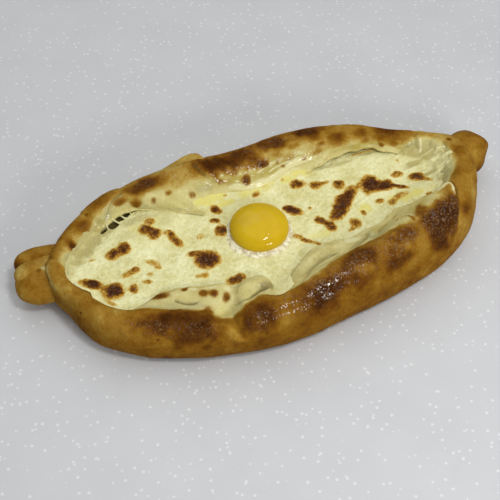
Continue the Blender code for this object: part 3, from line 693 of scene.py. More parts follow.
def crustPiece():
    # The loaf's skin moved along its normals by the sum of its swells, lumps, grain, blisters,
    # curds, creases and ridges, and painted with how browned, pale, wet and shiny it is
    c = crust
    p, n = loafSkin, loafNormal
    share = np.broadcast_to(loafShare[:, None], p.shape[:2])
    theta = np.radians(loafBearing)[None]
    far = np.broadcast_to((1 + np.sin(theta)) / 2, share.shape)
    shown = ease(share, -1.9, -1.4) * (1 - ease(share, 1.02, 1.15))
    fade = poolValue(theta, 3)
    end = poolValue(theta, 2) + 0.35 * fade * noise(p, 9, 5, 3)
    pale = ease(share, end - 0.4 * fade, end + fade)
    wet = layOn(p, c["wet"], 31) * pale
    lift = sum(height * noise(p, size, seed, 2)
               for seed, (size, height) in enumerate((c["swell"], c["lump"], c["grain"])))
    shine = layOn(p, c["shine"], 34)
    lift = lift + 0.10 * shine * noise(p, 1.8, 12)
    size, height = c["blister"]
    lift = lift + height * np.maximum(0, noise(p, size, 7) - 0.25) / 0.75
    size, height = c["curd"]
    lift = lift + height * noise(p, size, 8, 3) * wet
    for places, width, depth, step in c["creases"]:
        lift = lift + creaseLift(p, n, onPath(places), width, depth, step)
    for places, width, height in c["ridges"]:
        distance, along, _ = awayFrom(p, onPath(places), n)
        ends = ease(along, 0, 0.25) * (1 - ease(along, 0.75, 1))
        lift = lift + ends * height * np.exp(-(distance / width) ** 2)
    lift = lift - 0.8 * (1 - ease(share, 0.0, 0.4))
    grid = p + n * (np.minimum(lift, 1.2 + 1.6 * ease(share, 0.1, 0.4)) * shown)[..., None]
    low = ease(-share, 0.55, 0.95)
    left = ease(-p[..., 0], 85, 120)
    size, strength = c["clouds"]
    base = c["browned"] + strength * noise(p, size, 3, 2) - c["farPaler"] * far
    # painted shade: the foot of the near side darkened
    base = base + c["footPaintedShade"] * low * (1 - far) - c["leftPaler"] * left * (1 - far) * (1 - low)
    base = base * (1 - ease(share, end - 0.8 * fade, end + 0.6 * fade)) + 0.04
    distance, _, side = awayFrom(p, onPath(c["endWall"]), n)
    nearRoll = 1 - ease(-side * distance, -0.5, 1.2) * ease(p[..., 0], 100, 108)
    brown = 1 - (1 - base) * (1 - nearRoll * layOn(p, c["patches"])) * (
        1 - layOn(p, c["spots"], 3, 0.6)) * (1 - layOn(p, c["wallSpots"], 4, 0.6))
    strips = {tint: layStrips(p, n, lines) for tint, lines in c["strips"].items()}
    pale = pale + (1 - pale) * strips["pale"]
    brown = brown + (1 - brown) * strips["brown"] - 0.5 * brown * strips["pale"]
    # painted shade under the lip's nose, joined to the painted shade of the creases
    seam = np.maximum(strips["seam"], ease(share, 1.08, 1.18))
    paint = dict(brown=brown, pale=pale, wet=wet, shine=0.05 + 0.8 * shine, seam=seam,
                 ashen=np.maximum(layOn(p, c["ashen"], 32) * pale, strips["ashen"]),
                 milky=np.maximum(layOn(p, c["milky"], 33) * pale, strips["milky"]))
    return makePiece("crust", grid, paint, bakedCrust, ["bread"])


crustPiece()

dryCrust = dict(wet=0.0, ashen=0.0, milky=0.0, seam=0.0)   # tints that only the walls carry

# The ear, a curl of dough that stands at the far side: its free lip in space, its root in
# plan, and its scorched spots
earFlap = dict(
    lip=[
        (-50, 58, 34), (-43, 60, 36.5), (-36, 61.5, 38.5), (-30, 62.5, 40.2), (-25, 62.5, 41),
        (-20.5, 60.5, 41), (-18, 56, 39), (-19, 52, 37)],
    root=[(-51, 54), (-44, 52.5), (-37, 51), (-32, 50), (-28, 49.5), (-25, 49), (-22, 48.5), (-20, 48)],
    steps=220, around=56, thick=1.2, bulge=-0.9, sink=1.0, pale=0.25, brown=0.26,
    spots=[(-22.5, 51.5, 3.4, 5, 0, 0.9), (-41, 54, 9, 3, 10, 0.25)])


def flapPiece(name, lip, root, steps, around, thick, bulge, sink, pale, brown, spots):
    # Section at each step along: a flat superellipse from root to lip, thick across, its
    # middle raised by bulge; it thins away over the two end parts
    u = np.linspace(0, 1, steps)
    lip = smoothPath(lip, steps)
    root = smoothPath([(x, y, 0) for x, y in root], steps)
    root[:, 2] = skinHeight(root) - sink
    root[:, 2] = np.convolve(np.pad(root[:, 2], 12, "edge"), np.full(25, 1 / 25), "valid")
    v = np.arange(around)[None] * 2 * np.pi / around
    middle, half = (lip + root) / 2, (lip - root) / 2
    tangent = np.gradient(middle, axis=0)
    up = np.cross(half, tangent)
    up *= np.where(up[:, 2:] < 0, -1, 1) / np.linalg.norm(up, axis=1, keepdims=True)
    end = np.sqrt(np.clip(np.minimum(u, 1 - u) / 0.12, 0, 1))[:, None, None]
    out = np.sign(np.cos(v)) * np.abs(np.cos(v)) ** 0.8
    high = np.sign(np.sin(v)) * np.abs(np.sin(v)) ** 0.9
    grid = (middle[:, None] + half[:, None] * (out * (0.5 + 0.5 * end[..., 0]))[..., None]
            + up[:, None] * (end * (thick * high + bulge * (1 - out ** 2))[..., None]))
    grid[1:-1] += 0.25 * np.stack([noise(grid[1:-1], 12, k, 2) for k in range(3)], -1)
    shade = spotShade(grid[..., 0], grid[..., 1], spots, 2)
    paint = dict(dryCrust, brown=brown + shade * (1 - brown), pale=pale * (1 - shade), shine=0.1)
    return makePiece(name, grid, paint, bakedCrust, ["bread"])


def spotShade(x, y, spots, seed=0):
    # How scorched each place is: soft-edged ovals with ragged borders
    p = np.stack([x, y, np.zeros_like(x)], -1)
    turned = np.array([(0.8, 0.5, 0.33), (-0.6, 0.68, 0.43), (0.0, -0.54, 0.84)])
    ragged = 0.19 * noise(p @ turned, 5.0, seed, 3)
    keep = np.ones_like(x)
    for sx, sy, length, width, turn, dark in spots:
        u, v = ovalPlace(x, y, (sx, sy), turn, length, width)
        r = np.sqrt(u * u + v * v) + ragged
        keep = keep * (1 - dark * (1 - ease(r, 0.15, 1.3)))
    return 1 - keep


def layFlat(x, y, patches, seed):
    # How strongly plan places are tinted by level oval patches with ragged borders
    p = np.stack([x, y, np.zeros_like(x)], -1)
    ragged, most = 0.35 * noise(p, 6, seed, 3), np.zeros_like(x)
    for px, py, length, width, strength in patches:
        r = np.sqrt(((x - px) / length) ** 2 + ((y - py) / width) ** 2) + ragged
        most = np.maximum(most, strength * (1 - ease(r, 0.3, 1.2)))
    return most


flapPiece("earFlap", **earFlap)

# The twisted end of the loaf at the right and the two strands at the left. marks are tints
# laid on: which, the place, its radius and how strong.
lumps = dict(
    # on the right knob, the pale mark on the top-left is painted light, and the two brown marks on its right
    # and low on its near side are painted shade
    rightKnob=dict(at=(150, 27, 19.5), half=(19.3, 15.3, 12), turn=24, tilt=-3, twist=0.10,
                   brown=0.43, marks=[("pale", (140, 38, 30), 6, 0.3), ("brown", (165, 30, 22), 7, 0.25),
                                      ("brown", (156, 14, 14), 9, 0.3)]),
    # the paddle's first three pale marks, along its top, are pale dough at the join with a painted highlight
    # along its ridge
    leftPaddle=dict(at=(-134.2, 11.0, 15.2), half=(18.2, 13.8, 9.5), turn=0, tilt=4, twist=0.05,
                    brown=0.33, marks=[("pale", (-135, 18, 25), 5, 0.8), ("pale", (-131, 13, 25), 4, 0.7),
                                       ("pale", (-128, 6, 24), 4, 0.6), ("pale", (-151, 19, 20), 4, 0.6),
                                       ("brown", (-136, 13.5, 25), 2, 0.3),
                                       ("brown", (-140, 0, 12), 9, 0.22)]),
    # the curl's first pale mark, on its top, is a painted highlight
    leftCurl=dict(at=(-132.0, 26.5, 17.5), half=(18, 8.6, 8.2), turn=1, tilt=0, twist=0.03,
                  brown=0.42, marks=[("pale", (-131, 29.5, 24), 5, 0.6), ("pale", (-137, 17, 24), 4, 0.8),
                                     ("brown", (-147, 22, 20), 5, 0.35)]),
    leftJoin=dict(at=(-135, 18.5, 19.2), half=(16.5, 8.5, 6.3), turn=6, tilt=2, twist=0.02,
                  brown=0.28, marks=[("pale", (-130, 18.5, 24), 7, 0.6), ("pale", (-147, 19, 20), 4, 0.5)]),
    earRoot=dict(at=(-33, 58, 33), half=(14, 4, 4.5), turn=-10, tilt=6, twist=0.0, brown=0.22,
                 marks=[]))
lumpForm = dict(rows=92, around=144, roundness=2.3, strands=3, strandTurn=0.9,
                uneven=(10, 0.35), grain=(1.6, 0.06), mottle=(9, 0.13), topDarker=0.08)


def lumpPiece(name, at, half, turn, tilt, twist, brown, marks):
    # Rounded lump: a superellipsoid whose section carries turning strands
    f = lumpForm
    u = np.linspace(0, np.pi, f["rows"])[1:-1, None]
    v = np.arange(f["around"])[None] * 2 * np.pi / f["around"]

    def power(value):
        return np.sign(value) * np.abs(value) ** (2 / f["roundness"])

    thick = power(np.sin(u)) * (1 + twist * np.cos(f["strands"] * (v - f["strandTurn"] * u)))
    x = -half[0] * power(np.cos(u)) * np.ones_like(v)
    y = half[1] * thick * power(np.cos(v))
    z = half[2] * thick * power(np.sin(v))
    tilt, turn = np.radians(tilt), np.radians(turn)
    x, z = x * np.cos(tilt) - z * np.sin(tilt), x * np.sin(tilt) + z * np.cos(tilt)
    x, y = x * np.cos(turn) - y * np.sin(turn), x * np.sin(turn) + y * np.cos(turn)
    grid = np.stack([x + at[0], y + at[1], z + at[2]], -1)
    normal = outward(grid)
    if ((grid - np.array(at)) * normal).sum() < 0:
        normal = -normal
    (swell, high), (fine, low), (clouds, mottle) = f["uneven"], f["grain"], f["mottle"]
    grid = grid + normal * (high * noise(grid, swell, 2, 2) + low * noise(grid, fine, 4))[..., None]
    above = ease(grid[..., 2], at[2], at[2] + half[2])
    tints = dict(dryCrust, brown=brown + mottle * noise(grid, clouds, 6, 2) + f["topDarker"] * above,
                 pale=np.zeros(grid.shape[:2]), shine=0.15)
    for tint, place, radius, strength in marks:
        reach = np.linalg.norm(grid - np.array(place), axis=-1) / radius + 0.3 * noise(grid, 5, 3, 2)
        tints[tint] = tints[tint] + strength * np.exp(-np.maximum(reach, 0) ** 2.5)
    tints["brown"] = np.clip(tints["brown"] - 0.25 * tints["pale"], 0.05, 1)
    return makePiece(name, grid, tints, bakedCrust, ["bread"])


for lumpName, lump in lumps.items():
    lumpPiece(lumpName, **lump)

cheese = dict(
    z=27, deep=8, along=450, across=166, under=24, lineEnd=0.04, swell=(17, 0.40), curd=(2.8, 0.26),
    # where its border lies, by bearing: 0 at the rim's crest, 1 at the pool's edge
    border=[
        (0, 0.28), (20, 0.28), (38, 0.45), (46, 0.72), (56, 0.7), (64, 0.42), (76, 0.3), (92, 0.3),
        (106, 0.38), (116, 0.7), (132, 0.6), (142, 0.42), (150, 0.42), (160, 0.48), (168, 0.6), (185, 0.8),
        (196, 0.75), (203, 0.36), (212, 0.24), (220, 0.3), (228, 0.72), (264, 0.72), (269, 0.5),
        (273, 0.6), (280, 0.75), (325, 0.72), (340, 0.72), (350, 0.6), (356, 0.35)],
    # the film of cheese that climbs the walls: its thickness at the pool's edge, how much
    # of that it loses up to the crest, and its unevenness by size and height
    film=(0.6, 4.5, (9, 0.25), (3, 0.12)),
    dome=dict(at=(-66, 22), turn=20, length=24, width=15, rise=3.0),
    # scorched spots: x, y, half-length, half-width, turn, how dark
    spots=[
        (-108, 21, 3, 2, 30, 0.25), (-98, 29, 2.5, 2, 30, 0.3), (-90, 9, 6, 5, 10, 0.85),
        (-83, 11, 5, 5, 30, 0.8), (-67, 19, 5, 5, -18, 0.75), (-63, 25, 3.5, 3, -18, 0.45),
        (-62.5, 15.5, 5, 3.8, 40, 0.75), (-52, 8, 3.5, 7, 25, 0.7), (-54, 14, 4, 2.5, -10, 0.4),
        (-36, 6, 4, 3, 20, 0.35), (-21, 24, 5, 3.5, -50, 0.85), (-24, 16, 4, 2.5, -18, 0.75),
        (-22, 7, 5.5, 5, -18, 0.8), (-37, -12, 9, 7.5, -18, 0.95), (-44, -5, 5, 2.5, 0, 0.6),
        (-42, -23, 3, 2.5, -18, 0.4), (-25, -32, 7, 3.5, 0, 0.75), (-22, -30, 4, 3, 30, 0.5),
        (-85, -8, 7, 2.8, 12, 0.45), (-80, -6, 3, 2.5, -18, 0.45), (-70, -4, 6, 3, -30, 0.3),
        (-67, -9, 3, 2, 0, 0.3), (-73, -12, 3, 1.8, -18, 0.4), (-76, -17, 4, 2.2, -18, 0.4),
        (-85, -20, 3.5, 4.5, -18, 0.6), (-108, -8.5, 8.2, 4, -32, 1), (-97, -18, 7.6, 6.4, -18, 1),
        (-100, -26, 5, 2, -40, 0.3), (-12, 33, 2.5, 2, -18, 0.55), (7, 28, 3.5, 2.6, 20, 0.6),
        (14, 33, 3, 3, 0, 0.4), (26, 8, 7, 3.8, -35, 0.75), (23, 11, 4, 3, 0, 0.55),
        (36, 7, 2, 1.8, 0, 0.45), (35, 28, 6, 4, -18, 0.7), (46, 24, 5, 4, -10, 0.7),
        (52, 24, 5, 2, 10, 0.35), (27, 34, 2, 1.8, 0, 0.45), (60, 19.8, 4.4, 5, -18, 0.8),
        (63.5, 10, 8, 5.6, 42, 0.85), (57, 4, 9, 6.6, 42, 0.9), (51, -2.5, 7.5, 5.2, 36, 0.88),
        (39, -4, 4, 3.5, -50, 0.8), (43, -10, 5, 3.5, -60, 0.8), (80, 13.5, 9.4, 8, -18, 1),
        (88, 10, 8, 4.6, -22, 0.95), (96, 7, 7, 1.9, -22, 0.7), (99, 17, 5, 3, -5, 0.6),
        (91, 13, 4, 3, 20, 0.5), (110, 11, 6, 4, -10, 0.85), (116, 7, 5, 2, -30, 0.5),
        (80, -1, 3.5, 2.5, 0, 0.5), (93, -1, 8, 3, 15, 0.45), (87, -4, 3.5, 3, 0, 0.45),
        (112, -5, 4, 2.5, 20, 0.45), (59, -13, 4.5, 5, -18, 0.7), (55, -17, 4, 2, 20, 0.45),
        (67, -7, 2.2, 3, 0, 0.5), (21, -12, 4.5, 2.2, -30, 0.5), (25, -17, 5, 2, -35, 0.65),
        (31, -21, 3, 1.6, -35, 0.45), (104, 28, 2, 2, 0, 0.25), (-46, -22, 2, 2, 0, 0.3),
        # the last two spots, thin strips at y 41, are painted shade under the far lip
        (-104, 9, 4, 1.5, 0, 0.25), (-61, 28, 12, 6, 10, 0.12), (84, 41.5, 12, 1.3, 3, 0.3),
        (100, 41, 8, 1.2, -4, 0.25)],
    # patches of melted butter: x, y, half-length, half-width, how yellow
    butter=[
        (-22, 33, 12, 7, 1), (-14, 27, 8, 4, 0.9), (16, 38, 14, 8, 1), (6, 30, 12, 4, 0.8),
        (36, -15, 9, 4, 0.6), (68, -4, 7, 5, 0.8), (60, -12, 5, 3, 0.6), (98, -2, 20, 5, 0.9),
        (-72, -5, 12, 6, 0.25), (-104, -2, 9, 5, 0.25), (-45, 20, 8, 5, 0.3), (40, 36, 14, 3, 0.8),
        (-66, 22, 14, 8, 0.5), (30, 33, 8, 4, 0.9)],
    # darker dull places, laid out like the butter: dull cheese, and painted shade under the lips and along
    # the pool's edge
    dim=[
        (-109, 17, 14, 9, 1), (-113, 10, 10, 6, 0.9), (-102, 22, 13, 7, 1), (-91, 28, 11, 6, 0.9),
        (-118, 6, 6, 8, 0.7), (-56, 23, 8, 6, 0.5), (-66, 30, 12, 4, 0.7), (-82, 1, 6, 4, 0.5),
        (-76, 29, 8, 5, 0.7), (104, -13, 16, 3, 0.6), (40, -31, 14, 3, 0.5), (-60, -38, 20, 2.5, 0.5),
        (-80, 20, 9, 5, 0.5), (-96, -24, 10, 3, 0.5), (60, 37, 24, 2.5, 0.7), (-50, 30, 12, 4, 0.5),
        (93, 40.5, 22, 3.2, 1), (112, 38, 10, 5, 0.9), (30, 42, 26, 4, 0.8)],
    # holes under the far lip: x, y, half-length, half-width, turn, depth
    holes=[
        (-75.5, 37.6, 3.8, 2.1, 38, 7), (-79.6, 36, 3, 2.8, 38, 7), (-85, 31.8, 4.4, 3.2, 38, 6),
        (-91.8, 28.9, 2.6, 1.5, 38, 3), (-70, 39.6, 2.4, 1.5, 20, 6), (-64.4, 39.2, 4.6, 1.1, -10, 5),
        (-55, 34, 7, 1, -32, 4)])


def wallAt(x, y):
    # The share of the inner slope that a plan place stands at, and the slope's height there
    theta = np.arctan2(y / loaf["oval"][1], x / loaf["oval"][0]) % (2 * np.pi)
    reach = np.hypot(x / loaf["oval"][0], y / loaf["oval"][1])
    crest, edge = through(rimStations, theta, 2), poolValue(theta, 1)
    t = (crest - reach) / (crest - edge)
    z, _, hang = slopeHeight(theta, np.clip(t, 0, 1))
    high = np.clip((z - loaf["bulgeZ"]) / 10, 0, 1) * (1 - 0.8 * ease(t, 0.7, 1))
    return t, z + high * sum(foldRise(x, y, **fold) for fold in folds), hang


def nearAndFar(x, ring):
    # The near and far y of a ring at each x, and the x of its two ends
    ring = np.roll(ring, -ring[:, 0].argmax(), axis=0)
    left = ring[:, 0].argmin()
    far, near = ring[:left + 1][::-1], np.concatenate([ring[left:], ring[:1]])
    return (np.interp(x, near[:, 0], near[:, 1]), np.interp(x, far[:, 0], far[:, 1]),
            ring[left, 0], ring[0, 0])


def cheeseHeight(x, y):
    # Flat, with swells, curds and one blown dome, the scorched spots raised and the holes
    # sunk. A thin uneven film climbs the walls, except under a hanging lip: the surface is
    # the smooth larger of the two. At the right end the film is thick and drawn up in
    # streaks; at the left end it reaches up the far wall in tongues.
    c = cheese
    p = np.stack([x, y, np.zeros_like(x)], -1)
    z = c["z"] + foldRise(x, y, **c["dome"])
    z = z + c["swell"][1] * noise(p, c["swell"][0], 11, 2) + c["curd"][1] * noise(p, c["curd"][0], 12, 2)
    t, wall, hang = wallAt(x, y)
    thick, loss, coarse, fine = c["film"]
    film = wall + thick - loss * (1 - np.clip(t, 0, 1)) + coarse[1] * noise(p, coarse[0], 14, 2)
    film = film + fine[1] * noise(p, fine[0], 15, 3) - 14 * ease(hang, 0.05, 0.3) - 6 * ease(t, 0.95, 1.5)
    drawn = ease(x, 94, 116) * ease(y, -4, 12) * (1 - ease(hang, 0.02, 0.2))
    theta = np.arctan2(y / loaf["oval"][1], x / loaf["oval"][0])
    streak = noise(np.stack([45 * theta, 3 * t, 0 * t], -1), 2.2, 16, 2)
    tongues = ease(-x, 82, 98) * ease(y, -8, 6)
    film = film + drawn * (1.5 + 1.1 * streak) + tongues * (0.8 + 0.9 * noise(p, 7, 17, 3))
    climb = ease(film, z - 0.5, z + 1.5)
    z = z + 1.2 * np.log1p(np.exp(np.clip((film - z) / 1.2, -30, 30)))
    scorch = spotShade(x, y, c["spots"])
    z = z + (0.65 * ease(scorch, 0.1, 0.8) + 0.35 * scorch * noise(p, 1.8, 13, 2)) * (1 - climb)
    # opened: where the holes' insides get their painted shade
    opened = np.zeros_like(x)
    for hx, hy, length, width, turn, depth in c["holes"]:
        u, v = ovalPlace(x, y, (hx, hy), turn, length, width)
        inside = 1 - ease(np.sqrt(u * u + v * v), 0.8, 1.1)
        z = z - depth * inside
        opened = np.maximum(opened, ease(inside, 0.05, 0.5))
    reached = tongues * ease(film, z - 3, z + 1)
    dull = np.clip(0.4 * climb + drawn * (0.7 - 1.1 * streak) + 0.7 * reached, 0, 1)
    return z, scorch, climb, opened, dull


def cheesePiece():
    # A slab: lines of points cross the pool over the top from near to far and come back
    # underneath; the lines are spaced closer at the two ends
    c = cheese
    theta = np.arange(1440) * 2 * np.pi / 1440
    share = through(c["border"], theta, 1)
    crest, edge = through(rimStations, theta, 2), poolValue(theta, 1)
    ring = planRing(theta, crest + (edge - crest) * share)
    _, _, left, right = nearAndFar(np.zeros(1), ring)
    x = (left + right) / 2 - (right - left) / 2 * np.cos(
        np.linspace(c["lineEnd"], np.pi - c["lineEnd"], c["along"]))
    near, far, _, _ = nearAndFar(x, ring)
    near, far = near[:, None], far[:, None]
    y = near + (far - near) * np.linspace(0, 1, c["across"])
    xx = np.broadcast_to(x[:, None], y.shape)
    z, scorch, climb, hole, dull = cheeseHeight(xx, y)
    butter = layFlat(xx, y, c["butter"], 1)
    # the dull tint also takes the dim places: partly painted shade under the lips
    dull = np.maximum(dull, layFlat(xx, y, c["dim"], 2))
    p = np.stack([xx, y, z], -1)
    bottom = np.minimum(z, c["z"]) - c["deep"]
    under = np.stack([xx, y, bottom], -1)[:, ::-c["under"]]
    grid = np.concatenate([p, under], axis=1)

    def both(value):
        return np.concatenate([value, np.broadcast_to(0.0, under.shape[:2])], axis=1)

    paint = dict(brown=both(scorch * (1 - 0.7 * climb)), butter=both(butter), hole=both(hole),
                 dull=both(dull), climb=both(climb))
    return makePiece("cheeseTop", grid, paint, meltedCheese, ["cheese"])


melt = dict(
    plain=[(0.38, (0.62, 0.57, 0.235)), (0.49, (0.735, 0.705, 0.36)), (0.60, (0.84, 0.83, 0.50))],
    # dull: the olive of dulled cheese, also used as painted shade under the lips
    dull=(0.41, 0.35, 0.12), butter=(0.74, 0.67, 0.19), pore=(0.32, 0.28, 0.10), poreGap=4.2,
    scorch=[(0.0, (0.70, 0.62, 0.25)), (0.17, (0.60, 0.42, 0.09)), (0.38, (0.43, 0.22, 0.022)),
            (0.57, (0.20, 0.078, 0.007)), (0.78, (0.105, 0.034, 0.004)), (1.0, (0.050, 0.015, 0.003))],
    # hole: near-black painted shade inside the holes
    hole=(0.045, 0.032, 0.006))


def cheeseMaterial():
    # Cream mottled by its curds, then the dull tint (dulled cheese, and painted shade under the lips), the
    # buttery tint, the scorch on top, and painted shade inside the holes
    m = melt
    r = Recipe("meltedCheese")
    brown, butter, hole, dull, climb = (r.painted(label) for label in
                                        ("brown", "butter", "hole", "dull", "climb"))
    clouds, curds, fine = r.noise(14, 3), r.noise(2.4, 3, 0.6), r.noise(1.1, 3, 0.65)
    plain = r.ramp(clouds * 0.40 + curds * 0.35 + fine * 0.25, m["plain"])
    # dull tint: dulled cheese, and painted shade under the lips and along the pool's edge
    plain = r.mix((dull * 1.1 + (curds - 0.5)).between(0.2, 1.2) * 0.85, plain, m["dull"])
    plain = r.mix((butter + (curds - 0.5) * 0.6).between(0.15, 0.9) * 0.9, plain, m["butter"])
    pores = (1 - r.dots(m["poreGap"]).between(0.05, 0.11)) * (clouds - 0.5).between(-0.1, 0.2) * 0.55
    plain = r.mix(pores, plain, m["pore"])
    level = brown + ((curds - 0.5) * 1.2 + (fine - 0.5) * 0.8) * brown.between(0.02, 0.5)
    level = level.clamped()
    colour = r.mix(level.between(0.03, 0.30), plain, r.ramp(level, m["scorch"]))
    # painted shade inside the holes
    colour = r.mix(hole, colour, m["hole"])
    skin = r.bump(curds, 0.75)
    skin = r.bump(fine, 0.40, skin)
    rough = (0.5 + (curds - 0.5) * 0.3 - butter * 0.15 - climb * 0.1).clamped()
    sparks = r.noise(1.3, 2).between(0.56, 0.62)
    coat = (sparks * (brown * 0.5 + butter * 0.8 + climb * 0.6 + dull * 0.4 + 0.35)).clamped()
    return r.finish(Base_Color=colour, Roughness=rough, Normal=skin, Coat_Weight=coat,
                    Coat_Roughness=0.16, Specular_IOR_Level=0.05)


meltedCheese = cheeseMaterial()
cheesePiece()

# Strings of cheese from the far lip down to the pool: points along each, and its radius
strings = dict(
    stringOne=([(-81.0, 38.4, 30.2), (-79.0, 36.4, 28.6), (-76.2, 34.0, 27.3)], 0.55),
    stringTwo=([(-85.0, 35.2, 29.8), (-83.0, 33.3, 28.4), (-80.0, 30.6, 27.3)], 0.65),
    stringThree=([(-89.4, 31.8, 29.2), (-88.6, 29.0, 28.0), (-85.0, 26.4, 27.2)], 0.5),
    stringFour=([(-73.6, 41.2, 30.2), (-73.0, 38.2, 28.2), (-71.4, 35.0, 27.4)], 0.6))


def stringPiece(name, points, radius):
    # A thin round tube along the points, pinched in the middle
    count = 40
    path = smoothPath(points, count)
    tangent = np.gradient(path, axis=0)
    side = np.cross(tangent, [0, 0, 1])
    side /= np.linalg.norm(side, axis=1, keepdims=True)
    up = np.cross(side, tangent)
    up /= np.linalg.norm(up, axis=1, keepdims=True)
    thick = radius * (0.7 + 0.9 * np.abs(np.linspace(-1, 1, count)) ** 2)[:, None, None]
    v = np.arange(12) * 2 * np.pi / 12
    ring = side[:, None] * np.cos(v)[None, :, None] + up[:, None] * np.sin(v)[None, :, None]
    grid = path[:, None] + thick * ring
    return makePiece(name, grid, dict(brown=0.0, butter=0.0, hole=0.0, dull=0.0, climb=0.0),
                     meltedCheese, ["cheese"])


for stringName, (points, radius) in strings.items():
    stringPiece(stringName, points, radius)

egg = dict(radius=18.5, rise=12, sit=6, widest=3.0, around=240, rows=110,
           wrinkles=(13.2, 15.6), whiteNarrow=2.2, whiteWide=4.4, whiteRise=2.0)


def yolkPiece():
    # A flattened dome over a shallow bowl, turned round Z, with a faint wobble and two
    # faint wrinkles near its far side
    e = egg
    theta = np.arange(e["around"])[None] * 2 * np.pi / e["around"]
    a = np.linspace(-np.pi / 2, np.pi / 2, e["rows"])[1:-1, None]
    up = np.where(a > 0, e["rise"] - e["widest"], e["sit"] + e["widest"])
    radius = e["radius"] * np.cos(a) ** np.where(a > 0, 0.9, 0.8)
    z = cheese["z"] + e["widest"] + up * np.sin(a)
    grid = np.stack([radius * np.cos(theta), radius * np.sin(theta), z * np.ones_like(theta)], -1)
    shrink = 1 - 0.012 * ease(noise(grid, 16, 21), -1, 1)
    grid[..., :2] *= shrink[..., None]
    grid[..., 2] -= 0.25 * ease(noise(grid, 9, 22), -1, 1) * ease(a, 0, 0.5)
    d = np.hypot(grid[..., 0] - 0.5, grid[..., 1] + 12.5) / 6
    grid[..., 2] += 0.22 * noise(grid, 2.6, 23) * np.exp(-d ** 2) * (a > 0)
    for reach in e["wrinkles"]:
        wrinkle = np.exp(-((np.hypot(grid[..., 0], grid[..., 1]) - reach) / 0.5) ** 2)
        grid[..., 2] -= 0.15 * wrinkle * ease(grid[..., 1], 6, 12) * (a > 0)
    return makePiece("yolk", grid, {}, yolkSkin, ["egg_yolk"])


def whitePiece():
    # A thin lens carried round the yolk: closed round its section and round the yolk, so
    # the two end rows meet. It is widest and most bubbly at the near right.
    e = egg
    theta = np.linspace(0, 2 * np.pi, 361)[:, None]
    a = np.arange(28)[None] * 2 * np.pi / 28
    near = ease(-np.sin(theta + 0.3), -0.4, 0.9)
    circle = np.concatenate([np.cos(theta), np.sin(theta), 0 * theta], -1) * 20
    reach = e["whiteNarrow"] + (e["whiteWide"] - e["whiteNarrow"]) * near
    outer = e["radius"] + reach + 0.6 * near * noise(circle, 4, 31, 2)[:, None]
    inner = e["radius"] - 1.5
    radius = (inner + outer) / 2 - (outer - inner) / 2 * np.cos(a)
    top = cheese["z"] + e["whiteRise"] * (0.5 + 0.5 * np.cos(a)) ** 1.2
    lift = np.sin(a).clip(0) ** 0.4
    z = np.broadcast_to(top * lift + (cheese["z"] - 1.0) * (1 - lift), radius.shape)
    grid = np.stack([radius * np.cos(theta), radius * np.sin(theta), z], -1)
    bubbles = noise(grid[:-1], 3.0, 33, 2)
    bubbles = np.concatenate([bubbles, bubbles[:1]])
    grid[..., 2] += 0.22 * bubbles * near * (np.sin(a) > 0.05)
    return makePiece("eggWhite", grid, {}, whiteSkin, ["egg_white"])


def yolkMaterial():
    # Deep yellow under a wet film
    r = Recipe("yolkSkin")
    colour = r.ramp(r.noise(12, 2), [(0.3, (0.56, 0.36, 0.006)), (0.7, (0.63, 0.43, 0.008))])
    return r.finish(Base_Color=colour, Roughness=0.35, Normal=r.bump(r.noise(3, 2), 0.05),
                    Coat_Weight=0.5, Coat_Roughness=0.03, Specular_IOR_Level=0.0)


def whiteMaterial():
    # Cloudy, from clear to white
    r = Recipe("whiteSkin")
    colour = r.ramp(r.noise(2.4, 3), [(0.40, (0.58, 0.50, 0.31)), (0.60, (0.88, 0.85, 0.62))])
    return r.finish(Base_Color=colour, Roughness=0.3, Normal=r.bump(r.noise(1.2, 3), 0.2),
                    Coat_Weight=0.35, Coat_Roughness=0.1, Specular_IOR_Level=0.1)


yolkSkin, whiteSkin = yolkMaterial(), whiteMaterial()
yolkPiece()
whitePiece()

stage = dict(floor=3.0, tint=(0.56, 0.575, 0.60), chips=(0.80, 0.80, 0.81), chipGap=5,
             sky=0.31, skyTint=(1.0, 0.985, 0.96))
lights = [
    # name, place in metres, width, height, power, colour
    ("softAbove", (0.30, 0.15, 1.30), 2.2, 2.2, 8.7, (1.0, 0.99, 0.97)),
    ("softBehind", (-0.2, 0.85, 0.9), 0.7, 0.7, 1.0, (0.97, 0.98, 1.0)),
    ("lampAbove", (0.22, -0.48, 1.20), 0.22, 0.22, 4.8, (1.0, 0.99, 0.97)),
    ("windowFront", (0.26, -0.84, 0.46), 0.34, 0.20, 3.4, (1.0, 0.99, 0.97)),
]
camera = dict(azimuth=-18, elevation=52, angle=25, distance=0.692, lookAt=(-9.7, -11.5, 25))


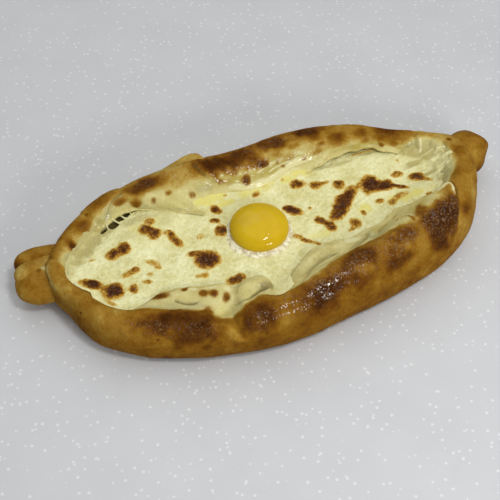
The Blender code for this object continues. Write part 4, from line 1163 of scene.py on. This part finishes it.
def makeStage():
    # A pale floor with fine chips, a dim sky, and soft lamps turned to the loaf
    size = stage["floor"] / 2
    mesh = bpy.data.meshes.new("floor")
    mesh.from_pydata([(-size, -size, 0), (size, -size, 0), (size, size, 0), (-size, size, 0)],
                     [], [(0, 1, 2, 3)])
    r = Recipe("paleFloor")
    tint = r.ramp(r.noise(40, 3), [(0.3, stage["tint"]), (0.7, tuple(1.05 * v for v in stage["tint"]))])
    chips = (1 - r.dots(stage["chipGap"]).between(0.13, 0.24)) * 0.6
    tint = r.mix(chips, tint, stage["chips"])
    mesh.materials.append(r.finish(Base_Color=tint, Roughness=0.6))
    floor = bpy.data.objects.new("floor", mesh)
    bpy.context.scene.collection.objects.link(floor)
    world = bpy.data.worlds.new("sky")
    bpy.context.scene.world = world
    world.use_nodes = True
    glow = world.node_tree.nodes["Background"].inputs
    glow["Color"].default_value, glow["Strength"].default_value = (*stage["skyTint"], 1), stage["sky"]
    target = Vector((0, 0, 0.03))
    for name, place, width, height, power, colour in lights:
        lamp = bpy.data.lights.new(name, "AREA")
        lamp.shape, lamp.size, lamp.size_y = "RECTANGLE", width, height
        lamp.energy, lamp.color = power, colour
        holder = bpy.data.objects.new(name, lamp)
        holder.location = place
        holder.rotation_euler = (target - Vector(place)).to_track_quat("-Z", "Y").to_euler()
        bpy.context.scene.collection.objects.link(holder)


def makeCamera():
    # The eye stands back from lookAt, by its distance, at its azimuth and elevation
    c = camera
    a, e = np.radians(c["azimuth"]), np.radians(c["elevation"])
    back = Vector((np.sin(a) * np.cos(e), -np.cos(a) * np.cos(e), np.sin(e)))
    eye = bpy.data.cameras.new("eye")
    eye.angle = np.radians(c["angle"])
    eye.clip_start = 0.01
    holder = bpy.data.objects.new("eye", eye)
    lookAt = Vector(c["lookAt"]) * mm + Vector((yolkPlace.x, yolkPlace.y, 0))
    holder.location = lookAt + back * c["distance"]
    holder.rotation_euler = (-back).to_track_quat("-Z", "Y").to_euler()
    bpy.context.scene.collection.objects.link(holder)
    bpy.context.scene.camera = holder
    bpy.context.scene.view_settings.view_transform = "Standard"


makeStage()
makeCamera()
print("scene ready")
